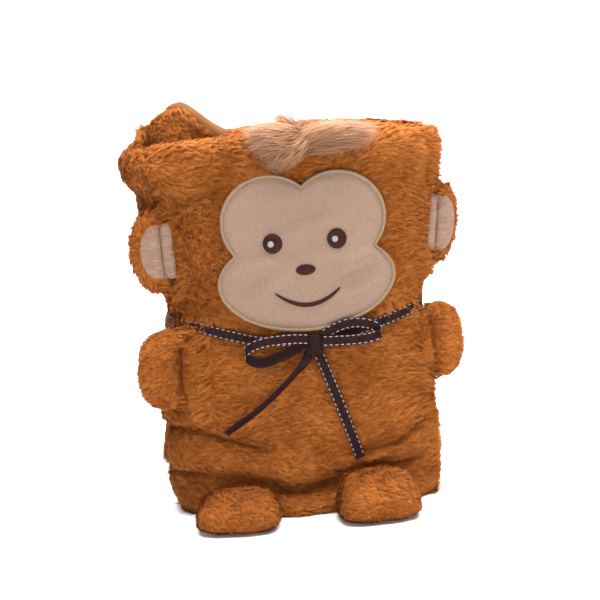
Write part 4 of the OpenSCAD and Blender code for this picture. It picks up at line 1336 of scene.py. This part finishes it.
def make_binding():
    """The tape over the raised corner's edge, and the pile that laps on to it."""
    a = np.linspace(CORNER_AT + 12, CORNER_AT - 31, 60)
    rim, level = rim_at(a), ROLL_H + 0 * a
    outside = ((-17, 0.98), (-13, 1.02), (-EDGE_R, 1.0), (-4, 0.86), (-1.2, 0.55), (0.3, 0.15))
    inside = ((-0.6, 0.1), (-2.4, 0.45), (-EDGE_R, 0.85), (-17, 0.85))
    rows = []
    for profile, off in ((outside, 1.6), (inside, 0.6)):
        for drop, out in profile:
            q = middle(a, level) + outward(a, level) * (out * SHEET_T / 2 + off)
            rows.append(np.column_stack([q, rim + drop]))
    obj = tube("corner_tape", np.stack(rows, 1)[:, ::-1])
    finish(obj, SATIN_TAN, "body", "tape", "edge_binding")
    p, n = pile_places(obj, 2.4, 95)
    line = rows[2][:, 0]
    share = (p[:, 0] - line[0]) / (line[-1] - line[0])
    top = np.interp(p[:, 0], line, rim)
    keep = (n[:, 1] < 0) & (p[:, 2] < top - 3 - 11 * ease((share - 0.2) / 0.6))
    clumps(p[keep], n[keep], "corner_tape_pile", "body", 96, 6.5)


# Pile of the roll


# Where the roll's pile is cut into parts, in x; the back's parts follow the front's
PILE_CUTS = [-110, -75, -35, 5, 45, 83, 105]


def make_roll_pile(points, usable, aa, z):
    """The roll's pile, in parts; it laps over the flaps' seams and hangs over the band's ends."""
    flat = points.reshape(-1, 3)
    quads = grid_quads(*z.shape, wrap_cols=True)
    quads = quads[usable.ravel()[quads].all(1)]
    tris = np.concatenate([quads[:, [0, 1, 2]], quads[:, [0, 2, 3]]])
    facing = np.zeros_like(flat)
    face = np.cross(flat[tris[:, 1]] - flat[tris[:, 0]], flat[tris[:, 2]] - flat[tris[:, 0]])
    for k in range(3):
        np.add.at(facing, tris[:, k], face)
    facing = unit(facing)
    facing[:, 2] += 0.4 * ease((z - rim_at(aa) + 26) / 26).ravel()
    p, n = scatter(flat, unit(facing), tris, 2.4, 101)
    bare = (n[:, 1] < -0.3) & (p[:, 1] < -30) & in_face(p[:, 0], p[:, 2], BORDER_W - 1.8)
    p, n = p[~bare], n[~bare]
    way, lean, length = lay_of(p), np.full(len(p), PILE_LEAN), np.full(len(p), PILE_LONG)
    for seam, s in SEAMS:
        far = np.sqrt(np.min([((p - q) ** 2).sum(1) for q in seam], axis=0))
        near = ease((18 - far) / 12) * (n[:, 1] < 0)
        way += near[:, None] * (np.array([s, -0.3, -0.3]) - way)
        lean -= 0.52 * near
        length += 4 * near
    above, wide = p[:, 2] - neck_at(angle_of(p)), np.abs(p[:, 0])
    end = ease((wide - 62) / 40)
    tip = 0.35 * ease((wide - 98) / 8) + 0.65 * ease((wide - 108) / 4)
    over = (end > 0) & (above > 0) & (above < 5 + 5 * end) & (p[:, 1] < 40)
    way[over] = way[over] * 0.4 - [0, 0, 1]
    lean[over] = 0.8
    length[over] = (7 + 4 * end + 7 * tip)[over]
    in_a_row = len(PILE_CUTS) + 1
    parts = np.digitize(p[:, 0], PILE_CUTS) + in_a_row * (p[:, 1] > 0)
    for k in range(2 * in_a_row):
        mine = parts == k
        clumps(p[mine], n[mine], f"roll_pile_{k + 1}", "body", 110 + k, length[mine], lean[mine], way[mine])


def make_floor():
    """A pale floor that curves up to a backdrop all round; sizes in metres."""
    radius = np.array([0.02, 0.3, 0.8, 1.6, 2.6, 3.4, 4.0, 4.3, 4.4])
    height = np.array([0, 0, 0, 0, 0, 0.08, 0.4, 1.0, 1.8])
    rows, count = len(radius), 96
    t = np.radians(np.linspace(0, 360, count + 1)[:-1])
    rings = np.stack([radius[:, None] * np.cos(t), radius[:, None] * np.sin(t), height[:, None] + 0 * t], -1)
    flat = np.concatenate([rings.reshape(-1, 3), [[0, 0, 0]]]) / MM
    ring = np.arange(count)
    hub = np.stack([0 * ring + rows * count, ring, (ring + 1) % count], 1)
    floor = mesh_from("floor", flat, grid_quads(rows, count, wrap_cols=True)[:, ::-1], hub)
    m = Nodes("pale_floor", 0.9)
    m.colour(m.ramp(m.noise(400), [(0.0, (0.90, 0.90, 0.90)), (1.0, (0.93, 0.93, 0.93))]))
    floor.data.materials.append(m.mat)


make_camera()
make_light()
make_floor()
roll = make_roll()
make_band()
make_knot()
for s, word in SIDES:
    make_loop(s, word)
    make_tail(s, word)
make_face_patch()
make_face_border()
make_features()
for s, word in SIDES:
    make_ear(s, word)
    make_arm(s, word)
    make_foot(s, word)
make_roots()
make_hair()
make_binding()
make_roll_pile(*roll)
for name, node in frame["nodes"].items():
    if "filling" in name:
        node.data.materials.clear()
        node.data.materials.append(FIBRE)
